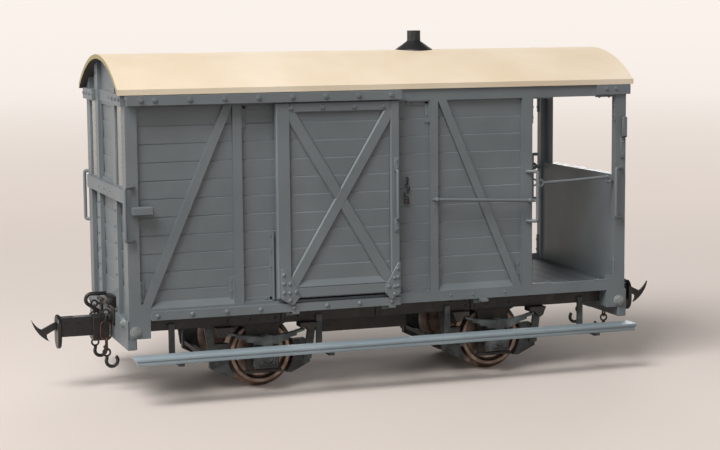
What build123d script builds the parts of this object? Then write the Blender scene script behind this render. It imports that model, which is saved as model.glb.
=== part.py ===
from build123d import *
import os
from math import atan2, cos, degrees, pi, radians, sin

os.makedirs("parts", exist_ok=True)

# Scale model of a narrow gauge brake van, in millimetres.
# X runs along the van with the open verandah at +X, Y across it, Z up.
# The origin is on the floor under the middle of the van, where the wheel flanges stand.

# Wheels
wheelbase = 104.0
tread_r = 13.2
flange_depth = 2.0
flange_t = 1.3
back_to_back = 42.0
tyre_w = 5.0
rim_t = 1.9               # radial thickness of the tyre
web_in = 1.6              # face of the web behind the face of the tyre
web_sides = 24
bore_sides = 16
axle_r = 1.6
journal_gap = 0.05

# Body
length = 220.0            # over the end framing
width = 80.0              # over the side framing
body_over_axle = 19.0     # underside of the body above the middle of the axles
sill_h = 4.3
side_h = 80.5             # boarding between sill and cantrail
cantrail_h = 5.2
frame_t = 1.8             # framing timbers stand this far out of the boards
board_t = 2.0
board_rows = 11
floor_t = 4.0
groove_w = 0.5            # joint line between boards
groove_d = 0.35
ledge_h = 2.6             # sloping weather ledge at the foot of a boarded panel
corner_w = 4.8            # corner posts, seen from the side
brace_w = 3.8
jamb_w = 4.0              # door jambs, hidden behind the door's edges

# Side layout, measured from the closed end of the framing
post2_at = 43.8
post2_w = 3.7
door_at = 61.0
door_w = 55.0
post3_at = 128.9
post3_w = 3.5
post4_at = 170.8
post4_w = 4.8

# Ends
end_corner_w = 5.2        # corner strip of the end framing
end_post_w = 6.0
end_post_y = 17.6         # middle of the two inner posts
rail_t = 1.0              # end rails stand this far out of the posts
waist_h = 42.6            # underside of the cabin end's waist rail above the sill
waist_rail_w = 5.4
verandah_h = 41.1         # underside of the verandah end's top rail above the sill
verandah_rail_w = 4.8
head_t = 1.6              # corner plates at cantrail height
head_len = 14.5           # their leg along the side
window_t = 0.8
bead_w = 1.2
bead_t = 0.7

# Bulkhead and its door
bulkhead_in = 0.4         # inside the edge of the cabin's post
doorway = 10.0            # half width
doorway_h = 65.5          # above the sill
inner_door_t = 1.6
inner_door_lift = 0.5
inner_door_lap = 1.0      # door over the edge of its doorway
inner_door_planks = 5
catch_w = 1.2
catch_h = 31.0
catch_len = 5.0

# Roof
roof_over_end = 3.0
roof_over_side = 1.0
roof_over_cantrail = 1.9  # top of the roof's edge above the cantrail
roof_rise = 13.2
roof_t = 1.8
roof_gap = 0.1

# Stove pipe
chimney_at = 137.0        # from the closed end
cowl_r = 8.2
cowl_h = 3.6
cowl_sides = 16
pipe_r = 2.8
pipe_h = 8.3

# Loose bar across the verandah opening
bar_w = 1.0
bar_h = 43.6              # its eye above the sill
bar_climb = 1.6           # hook end above the eye
bar_eye_r = 1.9
bar_eye_out = 4.6         # middle of the eye beyond the cabin's post

# Sliding doors
door_clear = 0.4          # running gap between door and side
door_lift = 1.1           # door's foot above the sill
door_over = 0.6           # door's head above the underside of the cantrail
door_board_t = 1.4
door_frame_t = 1.4
stile_w = 6.0
door_head_w = 4.2
door_foot_w = 4.6
cross_w = 4.8
tongue_h = 2.2            # tongue that hangs in the top track
gusset_t = 0.8
pull_w = 2.4
pull_edge = 0.4           # pull handle to the door's edge
pull_h = 26.5             # above the sill
pull_len = 31.0
pull_foot_h = 5.8
pull_rise = 2.2
pull_t = 0.7
running_gap = 0.3
track_leg_t = 1.0
track_lip = 1.0
track_top_gap = 0.6       # top of the track below the top of the cantrail
guide_h = 3.4             # bottom guide rail
bracket_w = 3.0
bracket_t = 1.0
bracket_in = 7.5          # first bracket inside the door's edge
bracket_pitch = 42.0
bracket_drop = 3.0        # bracket down the solebar's face
stop_h = 38.0             # door stop above the sill
stop_len = 8.5
stop_w = 3.4
stop_t = 3.6

# Underframe
solebar_room = 3.5        # between wheel face and solebar
solebar_t = 3.5
solebar_h = 6.0
headstock_t = 4.0
headstock_over = 1.0      # beyond the end framing
headstock_h = 12.0
foot_len = 8.7            # corner foot that comes down over the headstock's end
foot_drop = 7.6
foot_rise = 2.1
bearer_w = 3.0
bearer_h = 5.0
bearer_past = 4.6         # bearers stand this far beyond the brake hangers
box_short = 5.0           # plain box under the floor, short of the bearer at its verandah end
box_half = 14.0
box_h = 14.6
footboard_gap = 3.5       # inner edge outside the body
footboard_w = 8.5
footboard_t = 3.0
footboard_drop = 13.4     # top below the body's underside
hanger_w = 2.4
hanger_t = 1.3
hanger_inset = 18.5       # outer hangers from the end framing
hanger_clear = 23.2       # inner hangers from the wheel's middle

# Running gear, positions from the middle of the axle
iron_t = 1.2
iron_half = 14.0
iron_short = 1.2          # irons and hangers stop below the body's underside
horn_in = 3.5
horn_out = 7.0
horn_foot = 6.8           # horns reach this far below the axle
keep_h = 1.2
box_slide = 0.2           # axlebox in its horns
box_up = 4.4
box_down = 5.2
box_w = 9.2
box_out = 3.4             # axlebox beyond the solebar's face
lid_t = 0.8
spring_half = 16.0
spring_camber = 2.5
leaf_t = 0.85
leaf_w = 3.0
leaf_count = 4
leaf_step = 3.4
buckle_w = 3.8
buckle_wall = 0.5
shoe_gap = 1.3            # brake shoe to tread
hang_top = 23.4           # brake hanger at the solebar
hang_foot = 20.2
hang_w = 3.4
hang_t = 1.2
beam_w = 1.8

# Couplers, heights from the middle of the buffer plate
coupler_drop = 9.4        # middle of the buffer plate below the body's underside
coupler_len = 20.0        # headstock face to buffer plate
housing_len = 7.0
shank_up = 1.9            # middle of the shank above the middle of the plate
shank_h = 8.0
shank_w = 5.6
plate_h = 14.4
plate_w = 10.0
plate_t = 1.6
plate_steps = 8           # flats round each end of the plate
hook_slot = 1.8
hook_t = 1.4
hook_pin_r = 0.6
hook_pin_in = 2.4         # hook pin inside the buffer plate
hook_pin_up = 1.5         # hook pin above the middle of the shank

# Side chains and the spare hook
chain_y = 12.6
wire = 0.7
link_clear = 0.15
anchor_h = 7.8
anchor_w = 8.0
anchor_t = 0.9
anchor_up = 2.8           # top of the anchor plate above its eye
eye_r = 1.7
eye_over = 0.6            # middle of the eye below the body's underside
eye_out = 3.1             # chain's middle in front of the headstock
link_w = 2.9
short_link_h = 4.4
long_link_h = 6.2
ring_h = 8.6
ring_w = 5.2
hook_eye_h = 3.8
bowl_r = 3.2
bowl_w = 1.4
bowl_drop = 5.1           # middle of the bowl below the middle of its eye
spare_w = 1.6
spare_r = 3.2
spare_reach = 9.4
block_w = 12.0
block_h = 4.6

# Handrails and grab handles
rod_r = 0.8
rod_out = 3.0
rod_h = 39.2              # rod above the sill at its cabin end
rod_fall = 2.3
grab_r = 0.7
grab_out = 3.0
grab_side = 3.6
grab_low = 28.0           # above the sill
grab_len = 21.2
grab_foot = 0.8           # straight foot before the bend
lamp_h = 53.5             # foot of the lamp iron above the sill
lamp_edge = 0.6           # from the end framing
lamp_w = 2.2
lamp_t = 0.8
lamp_strap = 9.0
lamp_tongue = 8.0
lamp_out = 2.6

ends = ((1, "front"), (-1, "rear"))
sides = ((1, "left"), (-1, "right"))

axle_z = tread_r + flange_depth
sill_bottom = axle_z + body_over_axle
sill_top = sill_bottom + sill_h
floor_top = sill_bottom + floor_t
cantrail_bottom = sill_top + side_h
cantrail_top = cantrail_bottom + cantrail_h
board_pitch = side_h / board_rows
half_l = length / 2
half_w = width / 2
face_in = half_w - frame_t             # outer face of the side boards
board_in = face_in - board_t           # inner face of the side boards
end_face_in = half_l - frame_t
end_board_in = end_face_in - board_t
post2_x = (post2_at - half_l, post2_at + post2_w - half_l)
door_x = (door_at - half_l, door_at + door_w - half_l)
post3_x = (post3_at - half_l, post3_at + post3_w - half_l)
post4_x = (post4_at - half_l, post4_at + post4_w - half_l)
foot_x = half_l - foot_len
waist_bottom = sill_top + waist_h
waist_top = waist_bottom + waist_rail_w
verandah_rail_bottom = sill_top + verandah_h
verandah_rail_top = verandah_rail_bottom + verandah_rail_w
head_bottom = cantrail_bottom + 0.6

roof_half_width = half_w + roof_over_side
roof_r = (roof_half_width**2 + roof_rise**2) / (2 * roof_rise)
roof_crown = cantrail_top + roof_over_cantrail + roof_rise
roof_axis_z = roof_crown - roof_r
seat_r = roof_r - roof_t - roof_gap    # what stands under the roof ends on this radius
wall_top = roof_axis_z + seat_r

door_bottom = sill_top + door_lift
door_top = cantrail_bottom + door_over
board_y = half_w + door_clear
board_out = board_y + door_board_t
door_out = board_out + door_frame_t    # outer face of the door's frame

wheels_x = (-wheelbase / 2, wheelbase / 2)
back = back_to_back / 2
wheel_out = back + tyre_w
solebar_in = wheel_out + solebar_room
solebar_out = solebar_in + solebar_t
solebar_bottom = sill_bottom - solebar_h
box_in = wheel_out + 1.0               # inner end of the axleboxes
axle_half = box_in + 4.0
headstock_x = half_l + headstock_over - headstock_t
tip = half_l + headstock_over          # outer face of the headstock
footboard_y = half_w + footboard_gap
footboard_top = sill_bottom - footboard_drop
spring_y = solebar_out + 1.0
coupler_z = sill_bottom - coupler_drop
shank_z = coupler_z + shank_up
buffer_x = tip + coupler_len
all_parts = []


def save(piece, name):
    """Label a finished piece and write its STEP file."""
    piece.part.label = name
    export_step(piece.part, f"parts/{name}.step")
    all_parts.append(name)


def slab(x, y, z, mode=Mode.ADD):
    """A block between two positions on each axis."""
    with Locations(((x[0] + x[1]) / 2, (y[0] + y[1]) / 2, (z[0] + z[1]) / 2)):
        Box(abs(x[1] - x[0]), abs(y[1] - y[0]), abs(z[1] - z[0]), mode=mode)


def under_roof():
    """Trim the block being made to the arc of the roof's underside."""
    with Locations((0, 0, roof_axis_z)):
        Cylinder(seat_r, length + 2 * roof_over_end, rotation=(0, 90, 0), mode=Mode.INTERSECT)


def side_y(s, near, far):
    """Y positions on side s, from a nearer to a farther distance off the middle."""
    return tuple(sorted((s * near, s * far)))


def end_x(e, near, far):
    """X positions at end e, from a nearer to a farther distance off the middle."""
    return tuple(sorted((e * near, e * far)))


def outline(plane, points, amount, mode=Mode.ADD):
    """A straight-edged outline on a plane, extruded along the plane's normal."""
    with BuildSketch(plane) as profile:
        with BuildLine():
            Polyline(*points, close=True)
        make_face()
    extrude(profile.sketch, amount=amount, mode=mode)


def bend_points(middle, r, start, turn, steps, lean=1):
    """Points round a bend, from a start angle through a turn, in degrees; lean -1 mirrors it."""
    angles = [radians(start + turn * i / steps) for i in range(steps + 1)]
    return [(middle[0] + lean * r * cos(a), middle[1] + r * sin(a)) for a in angles]


def bow(first, middle, last, steps):
    """Points along the arc through three points."""
    arc = ThreePointArc(first, middle, last)
    return [arc @ (i / steps) for i in range(steps + 1)]


def ring_points(tall, wide):
    """Corners of a chain link: two half octagons joined by straight sides."""
    r, straight = wide / 2 / cos(radians(22.5)), (tall - wide) / 2
    upper = [(r * sin(radians(a)), straight + r * cos(radians(a))) for a in (-67.5, -22.5, 22.5, 67.5)]
    return upper + [(-x, -z) for x, z in upper]


def link(at, tall, wide, across):
    """A chain link of square wire, standing along the van or across it."""
    plane = Plane(at, x_dir=(0, 1, 0), z_dir=(1, 0, 0))
    if not across:
        plane = Plane(at, x_dir=(1, 0, 0), z_dir=(0, -1, 0))
    with BuildSketch(plane) as profile:
        with BuildLine():
            Polyline(*ring_points(tall, wide), close=True)
        make_face()
        with BuildLine():
            Polyline(*ring_points(tall - 2 * wire, wide - 2 * wire), close=True)
        make_face(mode=Mode.SUBTRACT)
    extrude(profile.sketch, amount=wire / 2, both=True)


# Board joints, from the cantrail downwards
joints = [cantrail_bottom - board_pitch * i for i in range(1, board_rows)]

for s, side in sides:
    # Side framing
    framing = side_y(s, face_in, half_w)
    with BuildPart() as side_frame:
        slab((-half_l, half_l), framing, (sill_bottom, sill_top))
        slab((-half_l, half_l), framing, (cantrail_bottom, wall_top))
        for x in ((-half_l, corner_w - half_l), post2_x, (door_x[0] + 0.8, door_x[0] + 0.8 + jamb_w),
                  (door_x[1] - 0.8 - jamb_w, door_x[1] - 0.8), post3_x, post4_x, (half_l - corner_w, half_l)):
            slab(x, framing, (sill_bottom, wall_top))
        # Diagonal braces of the two boarded panels, from corner to corner
        for x_low, x_high in ((brace_w / 2 - foot_x - brace_w, post2_x[0] - brace_w / 2),
                              (post4_x[0] - brace_w / 2, post3_x[1] + brace_w / 2)):
            outline(Plane.XZ.offset(-max(framing)),
                    [(x_low - brace_w / 2, sill_top), (x_low + brace_w / 2, sill_top),
                     (x_high + brace_w / 2, cantrail_bottom), (x_high - brace_w / 2, cantrail_bottom)],
                    frame_t)
        # Sloping ledges that shed water off the boards
        for x0, x1 in ((-foot_x, post2_x[0]), (post3_x[1], post4_x[0])):
            outline(Plane.YZ.offset(x0),
                    [(s * face_in, sill_top), (s * half_w, sill_top), (s * face_in, sill_top + ledge_h)],
                    x1 - x0)
        for e in (-1, 1):
            slab(end_x(e, foot_x, half_l), framing, (sill_bottom - foot_drop, sill_top + foot_rise))
        under_roof()
    save(side_frame, f"side_frame_{side}")

    # Side boarding, with the doorway cut and the verandah open above the sill
    with BuildPart() as side_boards:
        slab((-end_face_in, end_face_in), side_y(s, board_in, face_in), (sill_bottom, wall_top))
        slab((door_x[0] + 0.8 + jamb_w, door_x[1] - 0.8 - jamb_w), side_y(s, board_in, face_in),
             (floor_top, cantrail_bottom), Mode.SUBTRACT)
        slab((post4_x[1], half_l - corner_w), side_y(s, board_in, face_in),
             (sill_top, cantrail_bottom), Mode.SUBTRACT)
        for z in joints:
            slab((-end_face_in, post4_x[0]), side_y(s, face_in - groove_d, face_in),
                 (z - groove_w / 2, z + groove_w / 2), Mode.SUBTRACT)
        under_roof()
    save(side_boards, f"side_boards_{side}")

    # Sliding door: boarding with a tongue that hangs in the top track
    inner_x = (door_x[0] + stile_w, door_x[1] - stile_w)
    inner_z = (door_bottom + door_foot_w, door_top - door_head_w)
    with BuildPart() as door_boards:
        slab(door_x, side_y(s, board_y, board_out), (door_bottom, door_top))
        slab((door_x[0] + 1, door_x[1] - 1), side_y(s, board_y, board_out), (door_top, door_top + tongue_h))
        for z in joints[:-1]:
            slab(inner_x, side_y(s, board_out - groove_d, board_out),
                 (z - groove_w / 2, z + groove_w / 2), Mode.SUBTRACT)
    save(door_boards, f"door_boards_{side}")

    with BuildPart() as door_frame:
        slab(door_x, side_y(s, board_out, door_out), (door_bottom, door_top))
        slab(inner_x, side_y(s, board_out, door_out), inner_z, Mode.SUBTRACT)
        for x_low, x_high in (inner_x, inner_x[::-1]):
            outline(Plane.XZ.offset(-max(side_y(s, board_out, door_out))),
                    [(x_low - cross_w / 2, inner_z[0] - 1), (x_low + cross_w / 2, inner_z[0] - 1),
                     (x_high + cross_w / 2, inner_z[1] + 1), (x_high - cross_w / 2, inner_z[1] + 1)],
                    door_frame_t)
        outline(Plane.YZ.offset(inner_x[0]),
                [(s * board_out, inner_z[0]), (s * door_out, inner_z[0]),
                 (s * board_out, inner_z[0] + ledge_h)], inner_x[1] - inner_x[0])
        # Corner gussets that reach down in front of the guide rail: in from the door's edge, above its foot
        gusset = ((1.2, 12.7), (3.2, 12.5), (8.8, 2.9), (9.0, 0.4), (6.2, -2.8), (3.2, -1.2), (1.2, 0.0))
        gusset_face = Plane.XZ.offset(-max(side_y(s, door_out, door_out + gusset_t)))
        for edge, lean in ((door_x[0], 1), (door_x[1], -1)):
            outline(gusset_face, [(edge + lean * x, door_bottom + z) for x, z in gusset], gusset_t)
    save(door_frame, f"door_frame_{side}")

    # Pull handle: a strap on two riveted feet
    pull_x = (door_x[1] - pull_edge - pull_w, door_x[1] - pull_edge)
    pull_z = (sill_top + pull_h, sill_top + pull_h + pull_len)
    pull_inner = (pull_z[0] + pull_foot_h, pull_z[1] - pull_foot_h)
    with BuildPart() as pull:
        slab(pull_x, side_y(s, door_out, door_out + pull_t), pull_z)
        slab(pull_x, side_y(s, door_out, door_out + pull_rise), pull_inner)
        slab(pull_x, side_y(s, door_out, door_out + pull_rise - pull_t),
             (pull_inner[0] + pull_t, pull_inner[1] - pull_t), Mode.SUBTRACT)
    save(pull, f"door_handle_{side}")

    # Top track, bottom guide rail and the brackets that carry it from the solebar
    leg_y = door_out + running_gap
    track_top = cantrail_top - track_top_gap
    guide_y = door_out - running_gap
    with BuildPart() as tracks:
        slab((-half_l, door_x[1] + 0.5), side_y(s, half_w, leg_y + track_leg_t),
             (door_top + tongue_h + running_gap, track_top))
        slab((-half_l, door_x[1] + 0.5), side_y(s, leg_y - track_lip, leg_y + track_leg_t),
             (door_top + running_gap, track_top))
        slab((-foot_x, door_x[1]), side_y(s, half_w, guide_y), (sill_bottom, sill_bottom + guide_h))
        for x in (door_x[0] + bracket_in + bracket_pitch * i for i in range(3)):
            slab((x - bracket_w / 2, x + bracket_w / 2), side_y(s, solebar_out, guide_y),
                 (sill_bottom - bracket_t, sill_bottom))
            slab((x - bracket_w / 2, x + bracket_w / 2), side_y(s, solebar_out, solebar_out + bracket_t),
                 (sill_bottom - bracket_drop, sill_bottom))
    save(tracks, f"door_tracks_{side}")

    # Stop that holds the open door clear of the corner
    with BuildPart() as stop:
        slab((1.7 - half_l, 1.7 + stop_len - half_l), side_y(s, half_w, half_w + stop_t),
             (sill_top + stop_h, sill_top + stop_h + stop_w))
    save(stop, f"door_stop_{side}")

    # Handrail beside the verandah, falling a little towards it
    rod_a = Vector(post3_x[0] - 0.5, s * (half_w + rod_out), sill_top + rod_h)
    rod_b = Vector(post4_x[1], s * (half_w + rod_out), sill_top + rod_h - rod_fall)
    with BuildPart() as rail:
        with BuildSketch(Plane(origin=rod_a, z_dir=rod_b - rod_a)):
            RegularPolygon(rod_r, 8)
        extrude(amount=(rod_b - rod_a).length)
        for x in (post3_x[0] + post3_w / 2, post4_x[0] + post4_w / 2):
            z = rod_a.Z + (rod_b.Z - rod_a.Z) * (x - rod_a.X) / (rod_b.X - rod_a.X)
            slab((x - rod_r, x + rod_r), side_y(s, half_w, half_w + rod_out), (z - rod_r, z + rod_r))
    save(rail, f"handrail_{side}")

    # Grab handles bent out beside the openings, and the lamp iron on the verandah's corner post
    foot_to_bar = ((corner_w / 2 - half_l, -grab_side), (post4_x[0] + post4_w / 2, grab_side),
                   (half_l - corner_w / 2, -grab_side))
    with BuildPart() as grabs:
        for x, lean in foot_to_bar:
            low, high = sill_top + grab_low, sill_top + grab_low + grab_len
            y0, y1, y2 = s * half_w, s * (half_w + grab_foot), s * (half_w + grab_out)
            with BuildLine() as path:
                Polyline((x, y0, low), (x, y1, low), (x + lean, y2, low),
                         (x + lean, y2, high), (x, y1, high), (x, y0, high))
            with BuildSketch(Plane(origin=path.line @ 0, z_dir=path.line % 0)):
                RegularPolygon(grab_r, 6)
            sweep(path=path.line, transition=Transition.RIGHT)
        iron_x = (half_l - lamp_edge - lamp_w, half_l - lamp_edge)
        lug_z = (sill_top + lamp_h + lamp_strap, sill_top + lamp_h + lamp_strap + lamp_t)
        slab(iron_x, side_y(s, half_w, half_w + lamp_t), (sill_top + lamp_h, lug_z[0]))
        slab((iron_x[0], iron_x[1] + lamp_t), side_y(s, half_w, half_w + lamp_out), lug_z)
        slab(iron_x, side_y(s, half_w + lamp_out - lamp_t, half_w + lamp_out),
             (lug_z[1], lug_z[1] + lamp_tongue))
    save(grabs, f"grab_handles_{side}")

    # Loose bar across the verandah opening: an eye on a staple, a hook over a second one
    eye_x, eye_z = post4_x[1] + bar_eye_out, sill_top + bar_h
    hook_x, hook_z = half_l - corner_w - 2.6, sill_top + bar_h + bar_climb
    with BuildPart() as bar:
        with BuildSketch(Plane.XZ.offset(-s * face_in - bar_w / 2)):
            with Locations((eye_x, eye_z)):
                RegularPolygon(bar_eye_r, 8)
            with BuildLine():
                Polyline((eye_x + 1.2, eye_z + bar_w / 2), (hook_x - 2.0, hook_z + bar_w / 2),
                         (hook_x, hook_z + bar_w / 2), (hook_x + 1.9, hook_z - 1.9),
                         (hook_x + 1.0, hook_z - 2.5), (hook_x - 0.4, hook_z - bar_w / 2),
                         (hook_x - 2.0, hook_z - bar_w / 2), (eye_x + 1.2, eye_z - bar_w / 2), close=True)
            make_face()
            with Locations((eye_x, eye_z)):
                RegularPolygon(bar_eye_r - bar_w, 8, mode=Mode.SUBTRACT)
        extrude(amount=bar_w)
        # Staples in the two posts
        slab((post4_x[1], eye_x + 0.5), side_y(s, face_in - 0.4, face_in + 0.4), (eye_z - 0.4, eye_z + 0.4))
        slab((hook_x - 1.0, half_l - corner_w), side_y(s, face_in - 0.4, face_in + 0.4),
             (hook_z - 1.8, hook_z - 1.0))
    save(bar, f"verandah_bar_{side}")

    # Solebar
    with BuildPart() as solebar:
        slab((-headstock_x, headstock_x), side_y(s, solebar_in, solebar_out), (solebar_bottom, sill_bottom))
    save(solebar, f"solebar_{side}")

    # Footboard of two strips, on bent straps
    with BuildPart() as footboard:
        slab((-half_l, half_l), side_y(s, footboard_y, footboard_y + footboard_w),
             (footboard_top - footboard_t, footboard_top))
        seam = footboard_y + 0.55 * footboard_w
        slab((-half_l, half_l), side_y(s, seam, seam + groove_w),
             (footboard_top - groove_w, footboard_top), Mode.SUBTRACT)
    save(footboard, f"footboard_{side}")

    with BuildPart() as hangers:
        low = footboard_top - footboard_t
        toe = footboard_y + footboard_w - 1.0
        inner_hanger = wheelbase / 2 - hanger_clear
        hanger_top = sill_bottom - bracket_drop - running_gap
        for x in (hanger_inset - half_l, -inner_hanger, inner_hanger, half_l - hanger_inset):
            outline(Plane.YZ.offset(x - hanger_w / 2),
                    [(s * solebar_out, hanger_top), (s * (solebar_out + hanger_t), hanger_top),
                     (s * (solebar_out + hanger_t), low + 1.2), (s * (solebar_out + hanger_t + 1.2), low),
                     (s * toe, low), (s * toe, low - hanger_t),
                     (s * (solebar_out + 1.2), low - hanger_t), (s * solebar_out, low)], hanger_w)
    save(hangers, f"footboard_hangers_{side}")

# Floor
with BuildPart() as floor:
    slab((-end_board_in, end_board_in), (-board_in, board_in), (sill_bottom, floor_top))
save(floor, "floor")

# Ends: the boards, then posts, rails and corner plates in front of them
window_y = (end_post_y + end_post_w / 2, face_in - end_corner_w)
posts = (end_post_y - end_post_w / 2, window_y[0])
with BuildPart() as end_boards:
    slab((-end_face_in, -end_board_in), (-board_in, board_in), (sill_bottom, wall_top))
    for s in (-1, 1):
        slab((-end_face_in, -end_board_in), side_y(s, *window_y), (waist_top, head_bottom), Mode.SUBTRACT)
    for z in joints:
        slab((-end_face_in, -end_face_in + groove_d), (-board_in, board_in),
             (z - groove_w / 2, z + groove_w / 2), Mode.SUBTRACT)
    under_roof()
save(end_boards, "cabin_end_boards")

with BuildPart() as panes:
    for s in (-1, 1):
        slab((-end_face_in + 0.6, -end_face_in + 0.6 + window_t), side_y(s, *window_y),
             (waist_top, head_bottom))
save(panes, "cabin_end_windows")

with BuildPart() as verandah_boards:
    slab((end_board_in, end_face_in), (-board_in, board_in), (sill_bottom, verandah_rail_top))
    slab((end_board_in, end_face_in), (-board_in, board_in), (head_bottom, wall_top))
    for z in joints:
        if z < verandah_rail_bottom:
            slab((end_face_in - groove_d, end_face_in), (-board_in, board_in),
                 (z - groove_w / 2, z + groove_w / 2), Mode.SUBTRACT)
    under_roof()
save(verandah_boards, "verandah_end_boards")

for e, name, rail_z, inner_top in ((-1, "cabin_end_frame", (waist_bottom, waist_top), wall_top),
                                   (1, "verandah_end_frame", (verandah_rail_bottom, verandah_rail_top),
                                    verandah_rail_bottom)):
    with BuildPart() as end_frame:
        framing = end_x(e, end_face_in, half_l)
        for s in (-1, 1):
            slab(framing, side_y(s, window_y[1], face_in), (sill_bottom, wall_top))
            slab(framing, side_y(s, *posts), (sill_bottom, inner_top))
            slab(framing, side_y(s, *posts), (head_bottom, wall_top))
            slab(framing, side_y(s, posts[0], face_in), (head_bottom, cantrail_top))
            # Corner plate, one leg on the end and one along the side
            head_z = (head_bottom, cantrail_top)
            slab(end_x(e, half_l, half_l + head_t), side_y(s, window_y[0] - 1.0, half_w), head_z)
            if e > 0:
                slab((half_l - head_len, half_l + head_t), side_y(s, half_w, half_w + 1.0), head_z)
        slab(end_x(e, end_face_in, half_l - 0.8), (-posts[0], posts[0]), (head_bottom, cantrail_top))
        slab(end_x(e, end_face_in, half_l + rail_t), (-face_in, face_in), rail_z)
        if e < 0:
            # Bead around the upper middle bay
            slab(end_x(e, end_face_in, end_face_in + bead_t), (-posts[0], posts[0]), (waist_top, head_bottom))
            slab(end_x(e, end_face_in, end_face_in + bead_t), (bead_w - posts[0], posts[0] - bead_w),
                 (waist_top + bead_w, head_bottom - bead_w), Mode.SUBTRACT)
        under_roof()
    save(end_frame, name)

# Bulkhead between cabin and verandah, with its door of upright boards
bulkhead_x = (post4_x[0] + bulkhead_in, post4_x[0] + bulkhead_in + board_t)
with BuildPart() as bulkhead:
    slab(bulkhead_x, (-board_in, board_in), (floor_top, wall_top))
    slab(bulkhead_x, (-doorway, doorway), (floor_top, sill_top + doorway_h), Mode.SUBTRACT)
    under_roof()
save(bulkhead, "bulkhead")

leaf_x = (bulkhead_x[1] + running_gap, bulkhead_x[1] + running_gap + inner_door_t)
leaf_z = (floor_top + inner_door_lift, sill_top + doorway_h + inner_door_lap)
leaf_y = (-doorway - inner_door_lap, doorway + inner_door_lap + inner_door_t / 2)
plank = (leaf_y[1] - leaf_y[0]) / inner_door_planks
with BuildPart() as leaf:
    slab(leaf_x, leaf_y, leaf_z)
    for y in (leaf_y[0] + plank * i for i in range(1, inner_door_planks)):
        slab((leaf_x[1] - groove_d, leaf_x[1]), (y - groove_w / 2, y + groove_w / 2), leaf_z, Mode.SUBTRACT)
    # Hinge pin down the edge, and the catch at the other one
    with BuildSketch(Plane.XY.offset(leaf_z[0])):
        with Locations(((leaf_x[0] + leaf_x[1]) / 2, leaf_y[1])):
            Circle(inner_door_t / 2)
    extrude(amount=leaf_z[1] - leaf_z[0])
    slab((leaf_x[1], leaf_x[1] + catch_w), (leaf_y[0] + 2 * catch_w, leaf_y[0] + 3 * catch_w),
         (floor_top + catch_h, floor_top + catch_h + catch_len))
save(leaf, "bulkhead_door")

# Roof and stove pipe
with BuildPart() as roof:
    with BuildSketch(Plane.YZ.offset(-half_l - roof_over_end)):
        with Locations((0, roof_axis_z)):
            Circle(roof_r)
            Circle(roof_r - roof_t, mode=Mode.SUBTRACT)
        with Locations((0, roof_crown)):
            Rectangle(2 * roof_half_width, 2 * (roof_rise + 3), mode=Mode.INTERSECT)
    extrude(amount=length + 2 * roof_over_end)
save(roof, "roof")

chimney_x = chimney_at - half_l
with BuildPart() as chimney:
    with BuildSketch(Plane((chimney_x, 0, roof_crown - cowl_h))):
        RegularPolygon(2 * cowl_r - pipe_r, cowl_sides)
    extrude(amount=2 * cowl_h, taper=degrees(atan2((cowl_r - pipe_r) * cos(pi / cowl_sides), cowl_h)))
    with BuildSketch(Plane((chimney_x, 0, roof_crown + cowl_h))):
        Circle(pipe_r)
    extrude(amount=pipe_h - cowl_h)
    with Locations((chimney_x, 0, roof_axis_z)):
        Cylinder(roof_r, 4 * cowl_r, rotation=(0, 90, 0), mode=Mode.SUBTRACT)
save(chimney, "chimney")

# Cross bearers between the solebars, and the box under the floor
with BuildPart() as bearers:
    for x in wheels_x:
        for middle in (x - hang_top - bearer_past, x + hang_top + bearer_past):
            slab((middle - bearer_w / 2, middle + bearer_w / 2), (-solebar_in, solebar_in),
                 (sill_bottom - bearer_h, sill_bottom))
save(bearers, "cross_bearers")

inner_bearer = wheelbase / 2 - hang_top - bearer_past - bearer_w / 2
with BuildPart() as underfloor_box:
    slab((-inner_bearer, inner_bearer - box_short), (-box_half, box_half), (sill_bottom - box_h, sill_bottom))
save(underfloor_box, "underfloor_box")

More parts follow.
